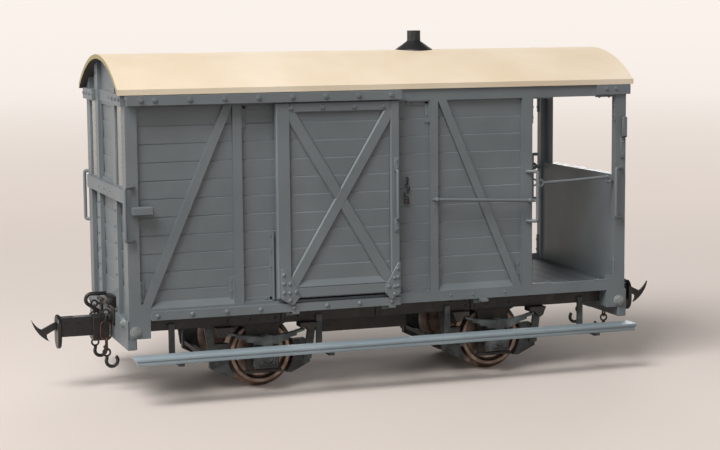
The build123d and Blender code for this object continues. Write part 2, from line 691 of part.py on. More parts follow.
for e, end in ends:
    # Headstock, housed behind the corner feet of the side framing
    with BuildPart() as headstock:
        slab(end_x(e, headstock_x, tip), (-half_w, half_w), (sill_bottom - headstock_h, sill_bottom))
        for s in (-1, 1):
            slab(end_x(e, headstock_x, half_l), side_y(s, face_in, half_w),
                 (sill_bottom - foot_drop, sill_bottom), Mode.SUBTRACT)
            slab(end_x(e, foot_x, headstock_x), side_y(s, solebar_out, face_in),
                 (sill_bottom - foot_drop, sill_bottom))
    save(headstock, f"headstock_{end}")

    # Coupler: housing, shank and buffer plate, slotted from above for the hook
    pin_x, pin_z = buffer_x - hook_pin_in, shank_z + hook_pin_up
    with BuildPart() as coupler:
        slab(end_x(e, tip, tip + housing_len), (-4.0, 4.0), (shank_z - 6.2, shank_z + shank_h / 2))
        slab(end_x(e, tip, buffer_x), (-shank_w / 2, shank_w / 2),
             (shank_z - shank_h / 2, shank_z + shank_h / 2))
        rise = (plate_h - plate_w) / 2
        outline(Plane.YZ.offset(e * buffer_x),
                bend_points((0, coupler_z + rise), plate_w / 2, 0, 180, plate_steps)
                + bend_points((0, coupler_z - rise), plate_w / 2, 180, 180, plate_steps), e * plate_t)
        slab(end_x(e, pin_x - 3.0, buffer_x + plate_t), (-hook_slot / 2, hook_slot / 2),
             (pin_z - 3.2, coupler_z + plate_h), Mode.SUBTRACT)
        with BuildSketch(Plane.XZ.offset(-hook_slot / 2)):
            with Locations((e * pin_x, pin_z)):
                Circle(hook_pin_r)
        extrude(amount=hook_slot)
    save(coupler, f"coupler_{end}")

    # Crescent hook: distances outwards and upwards from its pin
    hook = dict(tail_top=(-1.8, 1.7), neck_top=(3.7, 1.0), root_top=(10.0, -2.1), inside=(12.5, -0.3),
                point=(14.2, 2.2), belly=(12.0, -3.0), heel=(6.9, -7.4), throat=(7.8, -5.9),
                root_low=(8.0, -4.3), neck_low=(3.6, -2.0), tail_low=(-1.8, -1.3))
    at = {name: (e * (pin_x + dx), pin_z + dz) for name, (dx, dz) in hook.items()}
    curve = (bow(at["root_top"], at["inside"], at["point"], 5)[:-1]
             + bow(at["point"], at["belly"], at["heel"], 7)[:-1]
             + bow(at["heel"], at["throat"], at["root_low"], 3))
    with BuildPart() as coupling_hook:
        with BuildSketch(Plane.XZ.offset(-hook_t / 2)):
            with BuildLine():
                Polyline(at["neck_low"], at["tail_low"], at["tail_top"], at["neck_top"], *curve, close=True)
            make_face()
            with Locations((e * pin_x, pin_z)):
                RegularPolygon(hook_pin_r + 0.1, bore_sides, major_radius=False, mode=Mode.SUBTRACT)
        extrude(amount=hook_t)
    save(coupling_hook, f"coupling_hook_{end}")

    # Side chains with their anchor plates, and the spare hook stowed over the coupler
    with BuildPart() as chains:
        chain_x = e * (tip + eye_out)
        eye_z = sill_bottom - eye_over
        for s in (-1, 1):
            y = s * chain_y
            slab(end_x(e, tip, tip + anchor_t), (y - anchor_w / 2, y + anchor_w / 2),
                 (eye_z + anchor_up - anchor_h, eye_z + anchor_up))
            slab(end_x(e, tip + anchor_t, tip + eye_out - eye_r + wire), (y - wire / 2, y + wire / 2),
                 (eye_z - wire / 2, eye_z + wire / 2))
            link((chain_x, y, eye_z), 2 * eye_r, 2 * eye_r, across=False)
            # Links from the top down: height, width, whether it stands across the van
            low = eye_z - eye_r
            for tall, wide, across in ((short_link_h, link_w, True), (ring_h, ring_w, False),
                                       (long_link_h, link_w, True), (hook_eye_h, hook_eye_h, False)):
                low = low + 2 * wire + link_clear - tall
                link((chain_x, y, low + tall / 2), tall, wide, across)
            # Hook under its eye, its point towards the headstock
            bowl = (chain_x, low + hook_eye_h / 2 - bowl_drop)
            neck = [(chain_x - e * wire, low + wire / 2), (chain_x + e * wire, low + wire / 2)]
            outline(Plane.XZ.offset(-y - wire), neck + bend_points(bowl, bowl_r, 60, -270, 9, e)
                    + bend_points(bowl, bowl_r - bowl_w, -190, 250, 8, e), 2 * wire)
        # Spare hook: a bar bent back on itself, its ends in a block on the headstock
        block_top = sill_bottom + block_h
        slab(end_x(e, end_face_in, tip + anchor_t), (-block_w / 2, block_w / 2), (sill_bottom, block_top))
        bend = (e * (tip + spare_reach), sill_bottom + spare_r)
        tail = (e * (tip + anchor_t), e * (tip + anchor_t + spare_r))
        outline(Plane.XZ.offset(-spare_w / 2),
                [(tail[0], bend[1] + spare_r - spare_w), (tail[0], bend[1] + spare_r)]
                + bend_points(bend, spare_r, 90, -150, 5, e)
                + [(tail[1], bend[1] - spare_r - spare_w), (tail[1], bend[1] - spare_r)]
                + bend_points(bend, spare_r - spare_w, -60, 150, 5, e), spare_w)
        slab(end_x(e, tip, tip + anchor_t), (-spare_w / 2, spare_w / 2), (block_top, bend[1] + spare_r))
    save(chains, f"side_chains_{end}")

# Running gear
iron_y = solebar_in - iron_t
leaf_r = (spring_half**2 + spring_camber**2) / (2 * spring_camber)
box_top = axle_z + box_up
leaf_top = box_top + buckle_wall + leaf_count * leaf_t
spring_tip_z = leaf_top + spring_camber
up = solebar_bottom - spring_tip_z
for s, side in sides:
    # Axle guards behind the solebar, each with its keep, and the shoes that take the spring ends
    with BuildPart() as w_iron:
        for x in wheels_x:
            foot = axle_z - horn_foot
            outline(Plane.XZ.offset(-s * iron_y),
                    [(x - iron_half, sill_bottom - iron_short), (x + iron_half, sill_bottom - iron_short),
                     (x + iron_half, solebar_bottom + 1.5), (x + horn_out, solebar_bottom - 2.0),
                     (x + horn_out, foot), (x + horn_in, foot), (x + horn_in, box_top + 1.5),
                     (x - horn_in, box_top + 1.5), (x - horn_in, foot), (x - horn_out, foot),
                     (x - horn_out, solebar_bottom - 2.0), (x - iron_half, solebar_bottom + 1.5)],
                    -s * iron_t)
            slab((x - horn_out - 1.0, x + horn_out + 1.0), side_y(s, iron_y, solebar_in + 0.8),
                 (foot - keep_h, foot))
            for d in (-1, 1):
                # Beyond the spring's end, above its tip: the pad it bears on and the nose that holds it in
                shoe = ((-1.8, up), (-1.8, running_gap), (0.6, running_gap), (1.8, -1.2), (3.2, -2.2),
                        (4.4, -1.3), (5.8, up))
                outline(Plane.XZ.offset(-s * (solebar_out - 2.0)),
                        [(x + d * (spring_half + dx), spring_tip_z + dz) for dx, dz in shoe],
                        -s * (leaf_w + 3.0))
    save(w_iron, f"w_irons_{side}")

    with BuildPart() as boxes:
        for x in wheels_x:
            slab((x - horn_in + box_slide, x + horn_in - box_slide), side_y(s, box_in, solebar_in + 1.0),
                 (axle_z - box_down, box_top))
            slab((x - box_w / 2, x + box_w / 2), side_y(s, solebar_in + 1.0, solebar_out + box_out),
                 (axle_z - box_down, box_top))
            slab((x - box_w / 2 + 1.2, x + box_w / 2 - 1.2),
                 side_y(s, solebar_out + box_out, solebar_out + box_out + lid_t),
                 (axle_z - box_down + 1.6, box_top - 1.0))
            with BuildSketch(Plane.XZ.offset(-s * box_in)):
                with Locations((x, axle_z)):
                    RegularPolygon(axle_r + journal_gap, bore_sides, major_radius=False)
            extrude(amount=-s * (axle_half - box_in + 0.2), mode=Mode.SUBTRACT)
    save(boxes, f"axleboxes_{side}")

    # Leaf springs, the longest leaf on top, held by a buckle on each axlebox
    with BuildPart() as springs:
        for x in wheels_x:
            for i in range(leaf_count):
                reach = spring_half - leaf_step * i
                radius = leaf_r + leaf_t * i
                with BuildSketch(Plane.XZ.offset(-s * spring_y)):
                    with Locations((x, leaf_top + leaf_r)):
                        Circle(radius + leaf_t)
                        Circle(radius, mode=Mode.SUBTRACT)
                    with Locations((x, leaf_top)):
                        Rectangle(2 * reach, 4 * leaf_count * leaf_t, mode=Mode.INTERSECT)
                extrude(amount=-s * leaf_w)
            slab((x - buckle_w / 2, x + buckle_w / 2),
                 side_y(s, spring_y - buckle_wall, spring_y + leaf_w + buckle_wall),
                 (box_top, leaf_top + buckle_wall))
    save(springs, f"springs_{side}")

    # Brake shoes with their carriers and hangers, one each side of every wheel
    hang_y = wheel_out - 0.2
    carrier = ((10.5, 4.4), (19.6, 4.4), (21.6, 1.4), (21.6, -5.8), (13.6, -9.6), (8.0, -9.0))
    hang_low = axle_z - 4.2
    with BuildPart() as brakes:
        for x in wheels_x:
            for d in (-1, 1):
                with BuildSketch(Plane.XZ.offset(-s * (back + flange_t + 0.4))):
                    with BuildLine():
                        Polyline(*[(x + d * dx, axle_z + dz) for dx, dz in carrier], close=True)
                    make_face()
                    with Locations((x, axle_z)):
                        Circle(tread_r + shoe_gap, mode=Mode.SUBTRACT)
                extrude(amount=-s * (hang_y - back - flange_t - 0.4))
                outline(Plane.XZ.offset(-s * hang_y),
                        [(x + d * (hang_top - hang_w / 2), sill_bottom - iron_short),
                         (x + d * (hang_top + hang_w / 2), sill_bottom - iron_short),
                         (x + d * (hang_foot + hang_w / 2), hang_low),
                         (x + d * (hang_foot - hang_w / 2), hang_low)], -s * hang_t)
                slab(sorted((x + d * (hang_top - hang_w / 2), x + d * (hang_top + hang_w / 2))),
                     side_y(s, hang_y + hang_t, solebar_in), (solebar_bottom + 1.0, sill_bottom - iron_short))
    save(brakes, f"brake_shoes_{side}")

# Beams that tie the brake shoes across the van
with BuildPart() as beams:
    beam_y = back + flange_t + 0.4
    for x in wheels_x:
        for d in (-1, 1):
            slab(sorted((x + d * hang_foot - beam_w / 2, x + d * hang_foot + beam_w / 2)), (-beam_y, beam_y),
                 (axle_z - 3.8, axle_z - 3.8 + beam_w))
save(beams, "brake_beams")

# Wheels on their axles
for x, end in ((wheels_x[1], "front"), (wheels_x[0], "rear")):
    rim_in = tread_r - rim_t
    with BuildPart() as wheels:
        for r, y0, y1 in ((axle_z, back, back + flange_t), (tread_r, back + flange_t, wheel_out)):
            with BuildSketch(Plane.XZ.offset(-y0)):
                with Locations((x, axle_z)):
                    Circle(r)
            extrude(amount=-(y1 - y0))
        # Web set back inside the tyre, and the bore for the axle
        for r, corners, y0 in ((rim_in, web_sides, wheel_out - web_in), (axle_r, bore_sides, back)):
            with BuildSketch(Plane.XZ.offset(-y0)):
                with Locations((x, axle_z)):
                    RegularPolygon(r, corners, major_radius=False)
            extrude(amount=-(wheel_out - y0), mode=Mode.SUBTRACT)
        mirror(about=Plane.XZ)
    save(wheels, f"wheels_{end}")

    with BuildPart() as axle:
        with BuildSketch(Plane.XZ.offset(-axle_half)):
            with Locations((x, axle_z)):
                Circle(axle_r)
        extrude(amount=2 * axle_half)
    save(axle, f"axle_{end}")

print(len(all_parts), "pieces")
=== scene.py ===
import bpy, bmesh
from math import atan2, degrees, pi, radians, tan
from mathutils import Matrix, Vector


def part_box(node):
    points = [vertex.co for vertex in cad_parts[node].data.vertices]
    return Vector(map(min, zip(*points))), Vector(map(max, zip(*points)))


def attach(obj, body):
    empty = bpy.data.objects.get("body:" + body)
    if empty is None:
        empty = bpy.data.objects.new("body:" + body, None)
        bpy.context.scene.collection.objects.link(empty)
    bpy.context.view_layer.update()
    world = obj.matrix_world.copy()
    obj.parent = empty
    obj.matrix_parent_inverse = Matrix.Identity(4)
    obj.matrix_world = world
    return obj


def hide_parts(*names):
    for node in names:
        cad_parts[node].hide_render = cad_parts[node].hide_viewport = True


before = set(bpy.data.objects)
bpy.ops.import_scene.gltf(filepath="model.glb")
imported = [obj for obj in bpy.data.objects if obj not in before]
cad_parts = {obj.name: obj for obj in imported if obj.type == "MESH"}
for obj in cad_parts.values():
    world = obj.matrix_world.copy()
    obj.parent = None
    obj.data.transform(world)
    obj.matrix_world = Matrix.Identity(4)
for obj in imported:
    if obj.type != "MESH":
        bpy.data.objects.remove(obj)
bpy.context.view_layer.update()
MM = 0.001
FLOOR_PITCH = 7.3

# Camera, from the vanishing lines of the photograph, in millimetres
FOCAL_MM = 87.97
SENSOR_MM = 36.0
CAMERA_AT = (-250.15, -722.45, 154.66)
CAMERA_TILT = 0.1191
CAMERA_ROLL = -0.0081
CAMERA_TURN = 0.3361

SIDES = ((1, "left"), (-1, "right"))
ENDS = ((1, "front"), (-1, "rear"))


def far_corner(name):
    """Highest corner of a CAD node, in millimetres."""
    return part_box(name)[1] / MM


def near_corner(name):
    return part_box(name)[0] / MM


# Faces that the small fittings stand on, in millimetres from the middle of the van
side_face = far_corner("side_frame_left").y
side_boards = far_corner("side_boards_left").y
end_face = far_corner("side_frame_left").x
end_boards = far_corner("verandah_end_boards").x
head_face = -near_corner("cabin_end_frame").x
headstock_face = far_corner("headstock_front").x
track_face = far_corner("door_tracks_left").y
gusset_face = far_corner("door_frame_left").y
door_face = gusset_face - 0.8
guide_face = door_face - 0.3
solebar_face = far_corner("solebar_left").y
solebar_low = near_corner("solebar_left").z
body_low = near_corner("floor").z
sill_top = body_low + 4.3
BAY_HEIGHT = 80.5
cantrail_low = sill_top + BAY_HEIGHT
door_x = (near_corner("door_frame_left").x, far_corner("door_frame_left").x)
door_low = near_corner("door_boards_left").z
wheel_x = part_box("wheels_front")[0].x / MM / 2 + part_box("wheels_front")[1].x / MM / 2
axle_z = far_corner("wheels_front").z / 2
crown_z = far_corner("roof").z
post2 = (-66.2, -62.5)
post3 = (18.9, 22.4)
post4 = (60.8, 65.6)
corner_post = end_face - 4.8
end_post = 17.6
door_boards = far_corner("door_boards_left").y
footboard_top = far_corner("footboard_left").z


# Materials
def linear(hex_colour):
    """sRGB hex to the linear colour that a shader socket takes."""
    parts = [int(hex_colour[i:i + 2], 16) / 255 for i in (1, 3, 5)]
    return tuple(c / 12.92 if c <= 0.04045 else ((c + 0.055) / 1.055) ** 2.4 for c in parts) + (1.0,)


def add(material, kind, settings=None, **links):
    """Adds a shader node with its settings; i0, i1 and so on link or set its inputs by number."""
    tree = material.node_tree
    made = tree.nodes.new(kind)
    for name, value in (settings or {}).items():
        setattr(made, name, value)
    for name, value in links.items():
        socket = made.inputs[int(name[1:])] if name[0] == "i" and name[1:].isdigit() else made.inputs[name]
        if isinstance(value, bpy.types.NodeSocket):
            tree.links.new(value, socket)
        else:
            socket.default_value = value
    return made


def finish(name, colour, rough, metal=0.0):
    """A new material, its shader and the object's own coordinates."""
    material = bpy.data.materials.new(name)
    material.use_nodes = True
    shader = material.node_tree.nodes["Principled BSDF"]
    shader.inputs["Base Color"].default_value = linear(colour)
    shader.inputs["Roughness"].default_value = rough
    shader.inputs["Metallic"].default_value = metal
    return material, shader, add(material, "ShaderNodeTexCoord").outputs["Object"]


def grain(material, place, scale, stretch=(1, 1, 1), detail=4.0, levels=(0.0, 1.0)):
    """Noise of a real size, from 0 to 1 between two levels: grains per metre, drawn out by a stretch."""
    mapped = add(material, "ShaderNodeMapping", i0=place, i3=stretch).outputs[0]
    noise = add(material, "ShaderNodeTexNoise", Vector=mapped, Scale=scale, Detail=detail).outputs["Fac"]
    return add(material, "ShaderNodeMapRange", i0=noise, i1=levels[0], i2=levels[1]).outputs[0]


def coloured(material, shader, fac, first, second):
    """Colours the shader between two hex colours or sockets, and returns the result to build on."""
    ends = [linear(colour) if isinstance(colour, str) else colour for colour in (first, second)]
    mix = add(material, "ShaderNodeMix", dict(data_type="RGBA"), i0=fac, i6=ends[0], i7=ends[1]).outputs[2]
    material.node_tree.links.new(mix, shader.inputs["Base Color"])
    return mix


def roughened(material, shader, height, strength, depth_mm, rough=None):
    """Surface relief of a real depth, and a roughness that varies with it."""
    bump = add(material, "ShaderNodeBump", Strength=strength, Distance=depth_mm * MM, Height=height)
    material.node_tree.links.new(bump.outputs[0], shader.inputs["Normal"])
    if rough:
        varied = add(material, "ShaderNodeMapRange", i0=height, i1=0.3, i2=0.7, i3=rough[0], i4=rough[1])
        material.node_tree.links.new(varied.outputs[0], shader.inputs["Roughness"])


def wagon_paint(name, pale, dark, along=(1, 6, 6)):
    """Satin paint sprayed over scribed boards: faint grain along them, dust and handling marks."""
    material, shader, place = finish(name, pale, 0.55)
    clouds = grain(material, place, 38, levels=(0.35, 0.68))
    streaks = grain(material, place, 420, along, 6.0)
    marks = add(material, "ShaderNodeMath", dict(operation="MULTIPLY_ADD"), i0=streaks, i1=0.45, i2=clouds)
    fac = add(material, "ShaderNodeMapRange", i0=marks.outputs[0], i1=0.1, i2=1.35).outputs[0]
    coloured(material, shader, fac, dark, pale)
    roughened(material, shader, streaks, 0.35, 0.03, (0.38, 0.54))
    return material


def roof_canvas():
    """Canvas bedded in cream paint: matt, its 0.4 mm weave just showing; tan cut edge, and painted shade in
    dark grey on the faces that look down.
    """
    material, shader, place = finish("painted_canvas", "#F3E2C8", 0.85)
    weave = add(material, "ShaderNodeTexVoronoi", dict(distance="CHEBYCHEV"), Vector=place, Scale=2600)
    mottle = grain(material, place, 30, detail=6.0, levels=(0.3, 0.7))
    cloth = coloured(material, shader, mottle, "#EBD6B8", "#F6E6CE")
    normal = add(material, "ShaderNodeNewGeometry").outputs["True Normal"]
    facing = add(material, "ShaderNodeSeparateXYZ", i0=normal)
    end = add(material, "ShaderNodeMath", dict(operation="ABSOLUTE"), i0=facing.outputs[0]).outputs[0]
    edge = add(material, "ShaderNodeMapRange", i0=end, i1=0.6, i2=0.7).outputs[0]
    # Faces that look down turn dark grey: painted shade under the roof's overhang and over the verandah
    under = add(material, "ShaderNodeMapRange", i0=facing.outputs[2], i1=-0.05, i2=-0.1).outputs[0]
    coloured(material, shader, under, coloured(material, shader, edge, cloth, "#B3A57C"), "#4A4B49")
    roughened(material, shader, weave.outputs[0], 0.25, 0.04)
    return material


def dark_paint(name, pale, dark, rough):
    """Thin dark paint over cast metal: a little sheen, worn to a warm brown where it is handled."""
    material, shader, place = finish(name, dark, 0.5)
    wear = grain(material, place, 160, detail=7.0, levels=(0.45, 0.72))
    coloured(material, shader, wear, dark, pale)
    roughened(material, shader, grain(material, place, 1500), 0.3, 0.02, rough)
    return material


def toned_metal(name, pale, dark, rough):
    """Bare metal, chemically browned and rubbed: the colour shifts over a few millimetres."""
    material, shader, place = finish(name, pale, 0.4, 1.0)
    tone = grain(material, place, 240, detail=6.0, levels=(0.35, 0.7))
    coloured(material, shader, tone, dark, pale)
    roughened(material, shader, grain(material, place, 1800), 0.25, 0.015, rough)
    return material


def planked_floor():
    """Floor of boards across the van, each a slightly different grey, with dark seams between them."""
    material, shader, place = finish("planked_floor", "#686E70", 0.7)
    along = add(material, "ShaderNodeSeparateXYZ", i0=place).outputs[0]
    pitches = 1 / (FLOOR_PITCH * MM)
    rows = add(material, "ShaderNodeMath", dict(operation="MULTIPLY"), i0=along, i1=pitches).outputs[0]
    within = add(material, "ShaderNodeMath", dict(operation="FRACT"), i0=rows).outputs[0]
    number = add(material, "ShaderNodeMath", dict(operation="SUBTRACT"), i0=rows, i1=within).outputs[0]
    away = add(material, "ShaderNodeMath", dict(operation="PINGPONG"), i0=rows, i1=0.5).outputs[0]
    seam = add(material, "ShaderNodeMapRange", i0=away, i1=0.02, i2=0.05).outputs[0]
    board = add(material, "ShaderNodeTexWhiteNoise", dict(noise_dimensions="1D"), W=number).outputs[0]
    tone = coloured(material, shader, board, "#50565A", "#62696C")
    coloured(material, shader, seam, "#2B2D2E", tone)
    roughened(material, shader, seam, 0.6, 0.15)
    return material


def window_sheet():
    """Clear acetate sheet, with the faint ripple of thin plastic."""
    material, shader, place = finish("clear_sheet", "#EEF2F0", 0.06)
    shader.inputs["Transmission Weight"].default_value = 1.0
    shader.inputs["IOR"].default_value = 1.47
    roughened(material, shader, grain(material, place, 90, detail=1.0), 0.15, 0.05)
    return material


wagon_grey = wagon_paint("wagon_grey_paint", "#7B8285", "#6D7477")
# The bulkhead's boards run upright, and its grey is darker than the body's same paint: painted shade for the
# wall in the shade of the verandah
shaded_upright_grey = wagon_paint("wagon_grey_upright_shaded", "#6A7173", "#5C6365", (6, 6, 1))
footboard_blue = wagon_paint("footboard_paint", "#A3B0B6", "#8F9DA4")
canvas = roof_canvas()
underframe = dark_paint("underframe_paint", "#3A342F", "#211E1B", (0.42, 0.62))
running_grey = dark_paint("running_gear_paint", "#6E7575", "#3C3F3F", (0.45, 0.65))
bolt_grey = dark_paint("bolt_grey_paint", "#9A9E9C", "#7E8482", (0.35, 0.5))
coupling_black = dark_paint("coupling_black", "#2A2522", "#131212", (0.28, 0.45))
stove_black = dark_paint("stove_black", "#2D2E30", "#17181A", (0.4, 0.6))
browned_wire = toned_metal("browned_wire", "#6F5646", "#2A211C", (0.3, 0.5))
wheel_steel = toned_metal("wheel_steel", "#A8968B", "#6E5D53", (0.35, 0.55))
planks = planked_floor()
acetate = window_sheet()


# Modelling
def to_place(at, out):
    """Matrix that stands a shape made along Z at a point, with its Z along a direction."""
    return Matrix.Translation(Vector(at)) @ Vector(out).to_track_quat("Z", "Y").to_matrix().to_4x4()


def piece(name, bm, material, body, replaces=(), smooth=25):
    """Turns a bmesh in millimetres into a finished piece that rides on a body."""
    bmesh.ops.scale(bm, vec=(MM, MM, MM), verts=bm.verts)
    mesh = bpy.data.meshes.new(name)
    bm.to_mesh(mesh)
    bm.free()
    # A copy of a CAD piece brings the normals of its old shape along
    if mesh.has_custom_normals:
        mesh.attributes.remove(mesh.attributes["custom_normal"])
    mesh.polygons.foreach_set("use_smooth", [True] * len(mesh.polygons))
    mesh.set_sharp_from_angle(angle=radians(smooth))
    made = bpy.data.objects.new(name, mesh)
    bpy.context.scene.collection.objects.link(made)
    made.data.materials.append(material)
    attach(made, body)
    if replaces:
        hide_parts(*replaces)
    return made


def rounded(bm, width, segments=2, sharper=35, hollows=True):
    """Rounds the edges that turn by more than an angle, in degrees, with or without those in hollows."""
    edges = [e for e in bm.edges if len(e.link_faces) == 2 and e.calc_face_angle() > radians(sharper)
             and (hollows or e.is_convex)]
    bmesh.ops.bevel(bm, geom=edges, offset=width, segments=segments, profile=0.5, affect="EDGES",
                    clamp_overlap=True, material=-1)


def bent_rod(bm, corners, radius, bend, sides=12):
    """A round rod through corner points, bent at each of them."""
    corners = [Vector(p) for p in corners]
    moves, used = [], 0
    for before, corner, after in zip(corners, corners[1:], corners[2:]):
        first, second = (corner - before).normalized(), (after - corner).normalized()
        cut = bend * tan(first.angle(second) / 2)
        moves.append(((corner - before).length - used - cut,))
        moves.append((bend, degrees(first.angle(second)), first.cross(second).normalized()))
        used = cut
    moves.append(((corners[-1] - corners[-2]).length - used,))
    own = bmesh.new()
    rod(own, corners[0], corners[1] - corners[0], radius, moves, sides)
    join(bm, own)


def shifted(bm, pick, vec):
    """Moves the corners that a test picks."""
    bmesh.ops.translate(bm, verts=[v for v in bm.verts if pick(v.co)], vec=vec)


def softened(node, body, material, width, segments=2, reshape=None, smooth=20):
    """A copy of a CAD piece with the small rounded edges of a moulding, standing for it."""
    bm = bmesh.new()
    bm.from_mesh(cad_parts[node].data)
    bmesh.ops.scale(bm, vec=(1 / MM, 1 / MM, 1 / MM), verts=bm.verts)
    bmesh.ops.remove_doubles(bm, verts=bm.verts, dist=0.002)
    bmesh.ops.dissolve_limit(bm, angle_limit=radians(1), verts=bm.verts, edges=bm.edges)
    if reshape:
        reshape(bm)
    rounded(bm, width, segments, 40, False)
    return piece(node + "_soft", bm, material, body, (node,), smooth)


def block(bm, low, high):
    """A squared block between two corners."""
    low, high = Vector(low), Vector(high)
    bmesh.ops.create_cube(bm, size=1, matrix=Matrix.Translation((low + high) / 2)
                          @ Matrix.Diagonal((*(high - low), 1)))


def plate(bm, x, y, z):
    """A block from pairs of positions in any order."""
    block(bm, [min(p) for p in (x, y, z)], [max(p) for p in (x, y, z)])


def on_side(s, x, depth, z):
    """A point on the left or the right of the van, from its distance to the middle plane."""
    return (x, s * depth, z)


def timber(bm, x, y, z, edge, segments=1):
    """A plate of its own with its edges rounded or chamfered, set among other shapes."""
    own = bmesh.new()
    plate(own, x, y, z)
    rounded(own, edge, segments)
    join(bm, own)


def cut_out(bm, outline, through, edge=0.0):
    """A sheet cut to an outline of points and pushed through by a vector."""
    own = bmesh.new()
    face = own.faces.new([own.verts.new(p) for p in outline])
    made = bmesh.ops.extrude_face_region(own, geom=[face])["geom"]
    bmesh.ops.translate(own, verts=[g for g in made if isinstance(g, bmesh.types.BMVert)], vec=through)
    bmesh.ops.recalc_face_normals(own, faces=own.faces)
    if edge:
        rounded(own, edge, 1)
    join(bm, own)


def rivet(bm, at, out, r=0.55):
    """Domed rivet head."""
    bmesh.ops.create_uvsphere(bm, u_segments=10, v_segments=6, radius=r,
                              matrix=to_place(at, out) @ Matrix.Diagonal((1, 1, 0.75, 1)))


def bolt(bm, at, out, r=0.8):
    """Round washer, hexagon nut and the end of its bolt."""
    place = to_place(at, out)
    for sides, wide, low, high in ((16, 1.25, 0, 0.15), (6, 1.0, 0.15, 0.6), (10, 0.5, 0.6, 0.85)):
        middle = Matrix.Translation((0, 0, (low + high) / 2 * r))
        bmesh.ops.create_cone(bm, cap_ends=True, segments=sides, radius1=wide * r, radius2=wide * r * 0.93,
                              depth=(high - low) * r, matrix=place @ middle)


def rod(bm, at, along, radius, moves, sides=10, closed=False):
    """A round rod: each move is (length,) straight ahead, or (bend radius, degrees, axis)."""
    at, along = Vector(at), Vector(along).normalized()
    start = bmesh.ops.create_circle(bm, cap_ends=not closed, radius=radius, segments=sides,
                                    matrix=to_place(at, along))
    first = set(start["verts"])
    ring = [e for e in {e for v in first for e in v.link_edges} if set(e.verts) <= first]
    for move in moves:
        if len(move) == 1:
            made = bmesh.ops.extrude_edge_only(bm, edges=ring)["geom"]
            fresh = [g for g in made if isinstance(g, bmesh.types.BMVert)]
            bmesh.ops.translate(bm, verts=fresh, vec=along * move[0])
            ring = [g for g in made if isinstance(g, bmesh.types.BMEdge) and set(g.verts) <= set(fresh)]
            at += along * move[0]
        else:
            bend, angle, axis = move[0], radians(move[1]), Vector(move[2])
            centre = at + axis.cross(along) * (bend if angle > 0 else -bend)
            made = bmesh.ops.spin(bm, geom=ring, cent=centre, axis=axis, angle=angle,
                                  steps=max(3, round(abs(move[1]) / 18)))["geom_last"]
            ring = [g for g in made if isinstance(g, bmesh.types.BMEdge)]
            turn = Matrix.Rotation(angle, 3, axis)
            at = centre + turn @ (at - centre)
            along = turn @ along
    if closed:
        bmesh.ops.remove_doubles(bm, verts=bm.verts, dist=0.01)
    else:
        bmesh.ops.contextual_create(bm, geom=ring)
    bmesh.ops.recalc_face_normals(bm, faces=bm.faces)


def chain_link(bm, at, tall, wide, wire_r, across):
    """A link of round wire, standing along the van or across it."""
    own = bmesh.new()
    half = wide / 2 - wire_r
    straight = tall - wide
    side_and_bend = ((max(straight, 0.02),), (half, 180, (0, 1, 0)))
    rod(own, (-half, 0, -straight / 2), (0, 0, 1), wire_r, side_and_bend * 2, 8, True)
    if across:
        bmesh.ops.rotate(own, cent=(0, 0, 0), matrix=Matrix.Rotation(pi / 2, 3, "Z"), verts=own.verts)
    bmesh.ops.translate(own, vec=at, verts=own.verts)
    join(bm, own)


def join(bm, own):
    """Moves what one bmesh holds into another."""
    holder = bpy.data.meshes.new("joining")
    own.to_mesh(holder)
    own.free()
    bm.from_mesh(holder)
    bpy.data.meshes.remove(holder)


def spun(bm, outline, centre, axis, steps):
    """Spins an outline of points once round an axis and closes it."""
    own = bmesh.new()
    verts = [own.verts.new(p) for p in outline]
    for first, second in zip(verts, verts[1:]):
        own.edges.new((first, second))
    bmesh.ops.spin(own, geom=own.verts[:] + own.edges[:], cent=centre, axis=axis, angle=2 * pi, steps=steps,
                   use_merge=True)
    bmesh.ops.remove_doubles(own, verts=own.verts, dist=0.001)
    bmesh.ops.recalc_face_normals(own, faces=own.faces)
    join(bm, own)


# The paint or metal of each CAD piece, by the start of its name; the rest are in the body's grey
LOOKS = (
    ("bulkhead", shaded_upright_grey), ("floor", planks), ("roof", canvas), ("cabin_end_windows", acetate),
    ("footboard_hangers", running_grey), ("footboard", footboard_blue), ("underfloor_box", underframe),
    ("cross_bearers", underframe), ("brake_beams", underframe), ("w_irons", underframe),
    ("solebar", underframe), ("springs", running_grey), ("brake_shoes", running_grey),
    ("axleboxes", running_grey), ("axle_", wheel_steel), ("coupler", coupling_black),
    ("coupling_hook", coupling_black),
)
for name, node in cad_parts.items():
    look = next((material for start, material in LOOKS if name.startswith(start)), wagon_grey)
    node.data.materials.clear()
    node.data.materials.append(look)

# CAD pieces that get the rounded or chamfered edges of a moulding: start of the name, look, slot, edge width
MOULDED = (
    ("side_frame", wagon_grey, "body_grey", 0.4), ("cabin_end_frame", wagon_grey, "body_grey", 0.3),
    ("verandah_end_frame", wagon_grey, "body_grey", 0.3), ("door_stop", wagon_grey, "body_grey", 0.4),
    ("headstock", wagon_grey, "body_grey", 0.35), ("coupler", coupling_black, "coupler_black", 0.4),
    ("coupling_hook", coupling_black, "coupler_black", 0.25),
    ("axleboxes", running_grey, "underframe_grey", 0.4),
    ("brake_shoes", running_grey, "underframe_grey", 0.25), ("solebar", underframe, "underframe_grey", 0.3),
)
for start, look, slot, width in MOULDED:
    for name in sorted(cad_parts):
        if name.startswith(start):
            softened(name, "van", look, width, 1 if look is wagon_grey else 2)

# Boarding: each board's lower edge tucks in behind the chamfered top of the next, which catches the light
DOOR_TRIM = 1.8
BOARDS = 11
BOARD_PITCH, GROOVE, LIP, TUCK = BAY_HEIGHT / BOARDS, 0.5, 0.45, 0.26


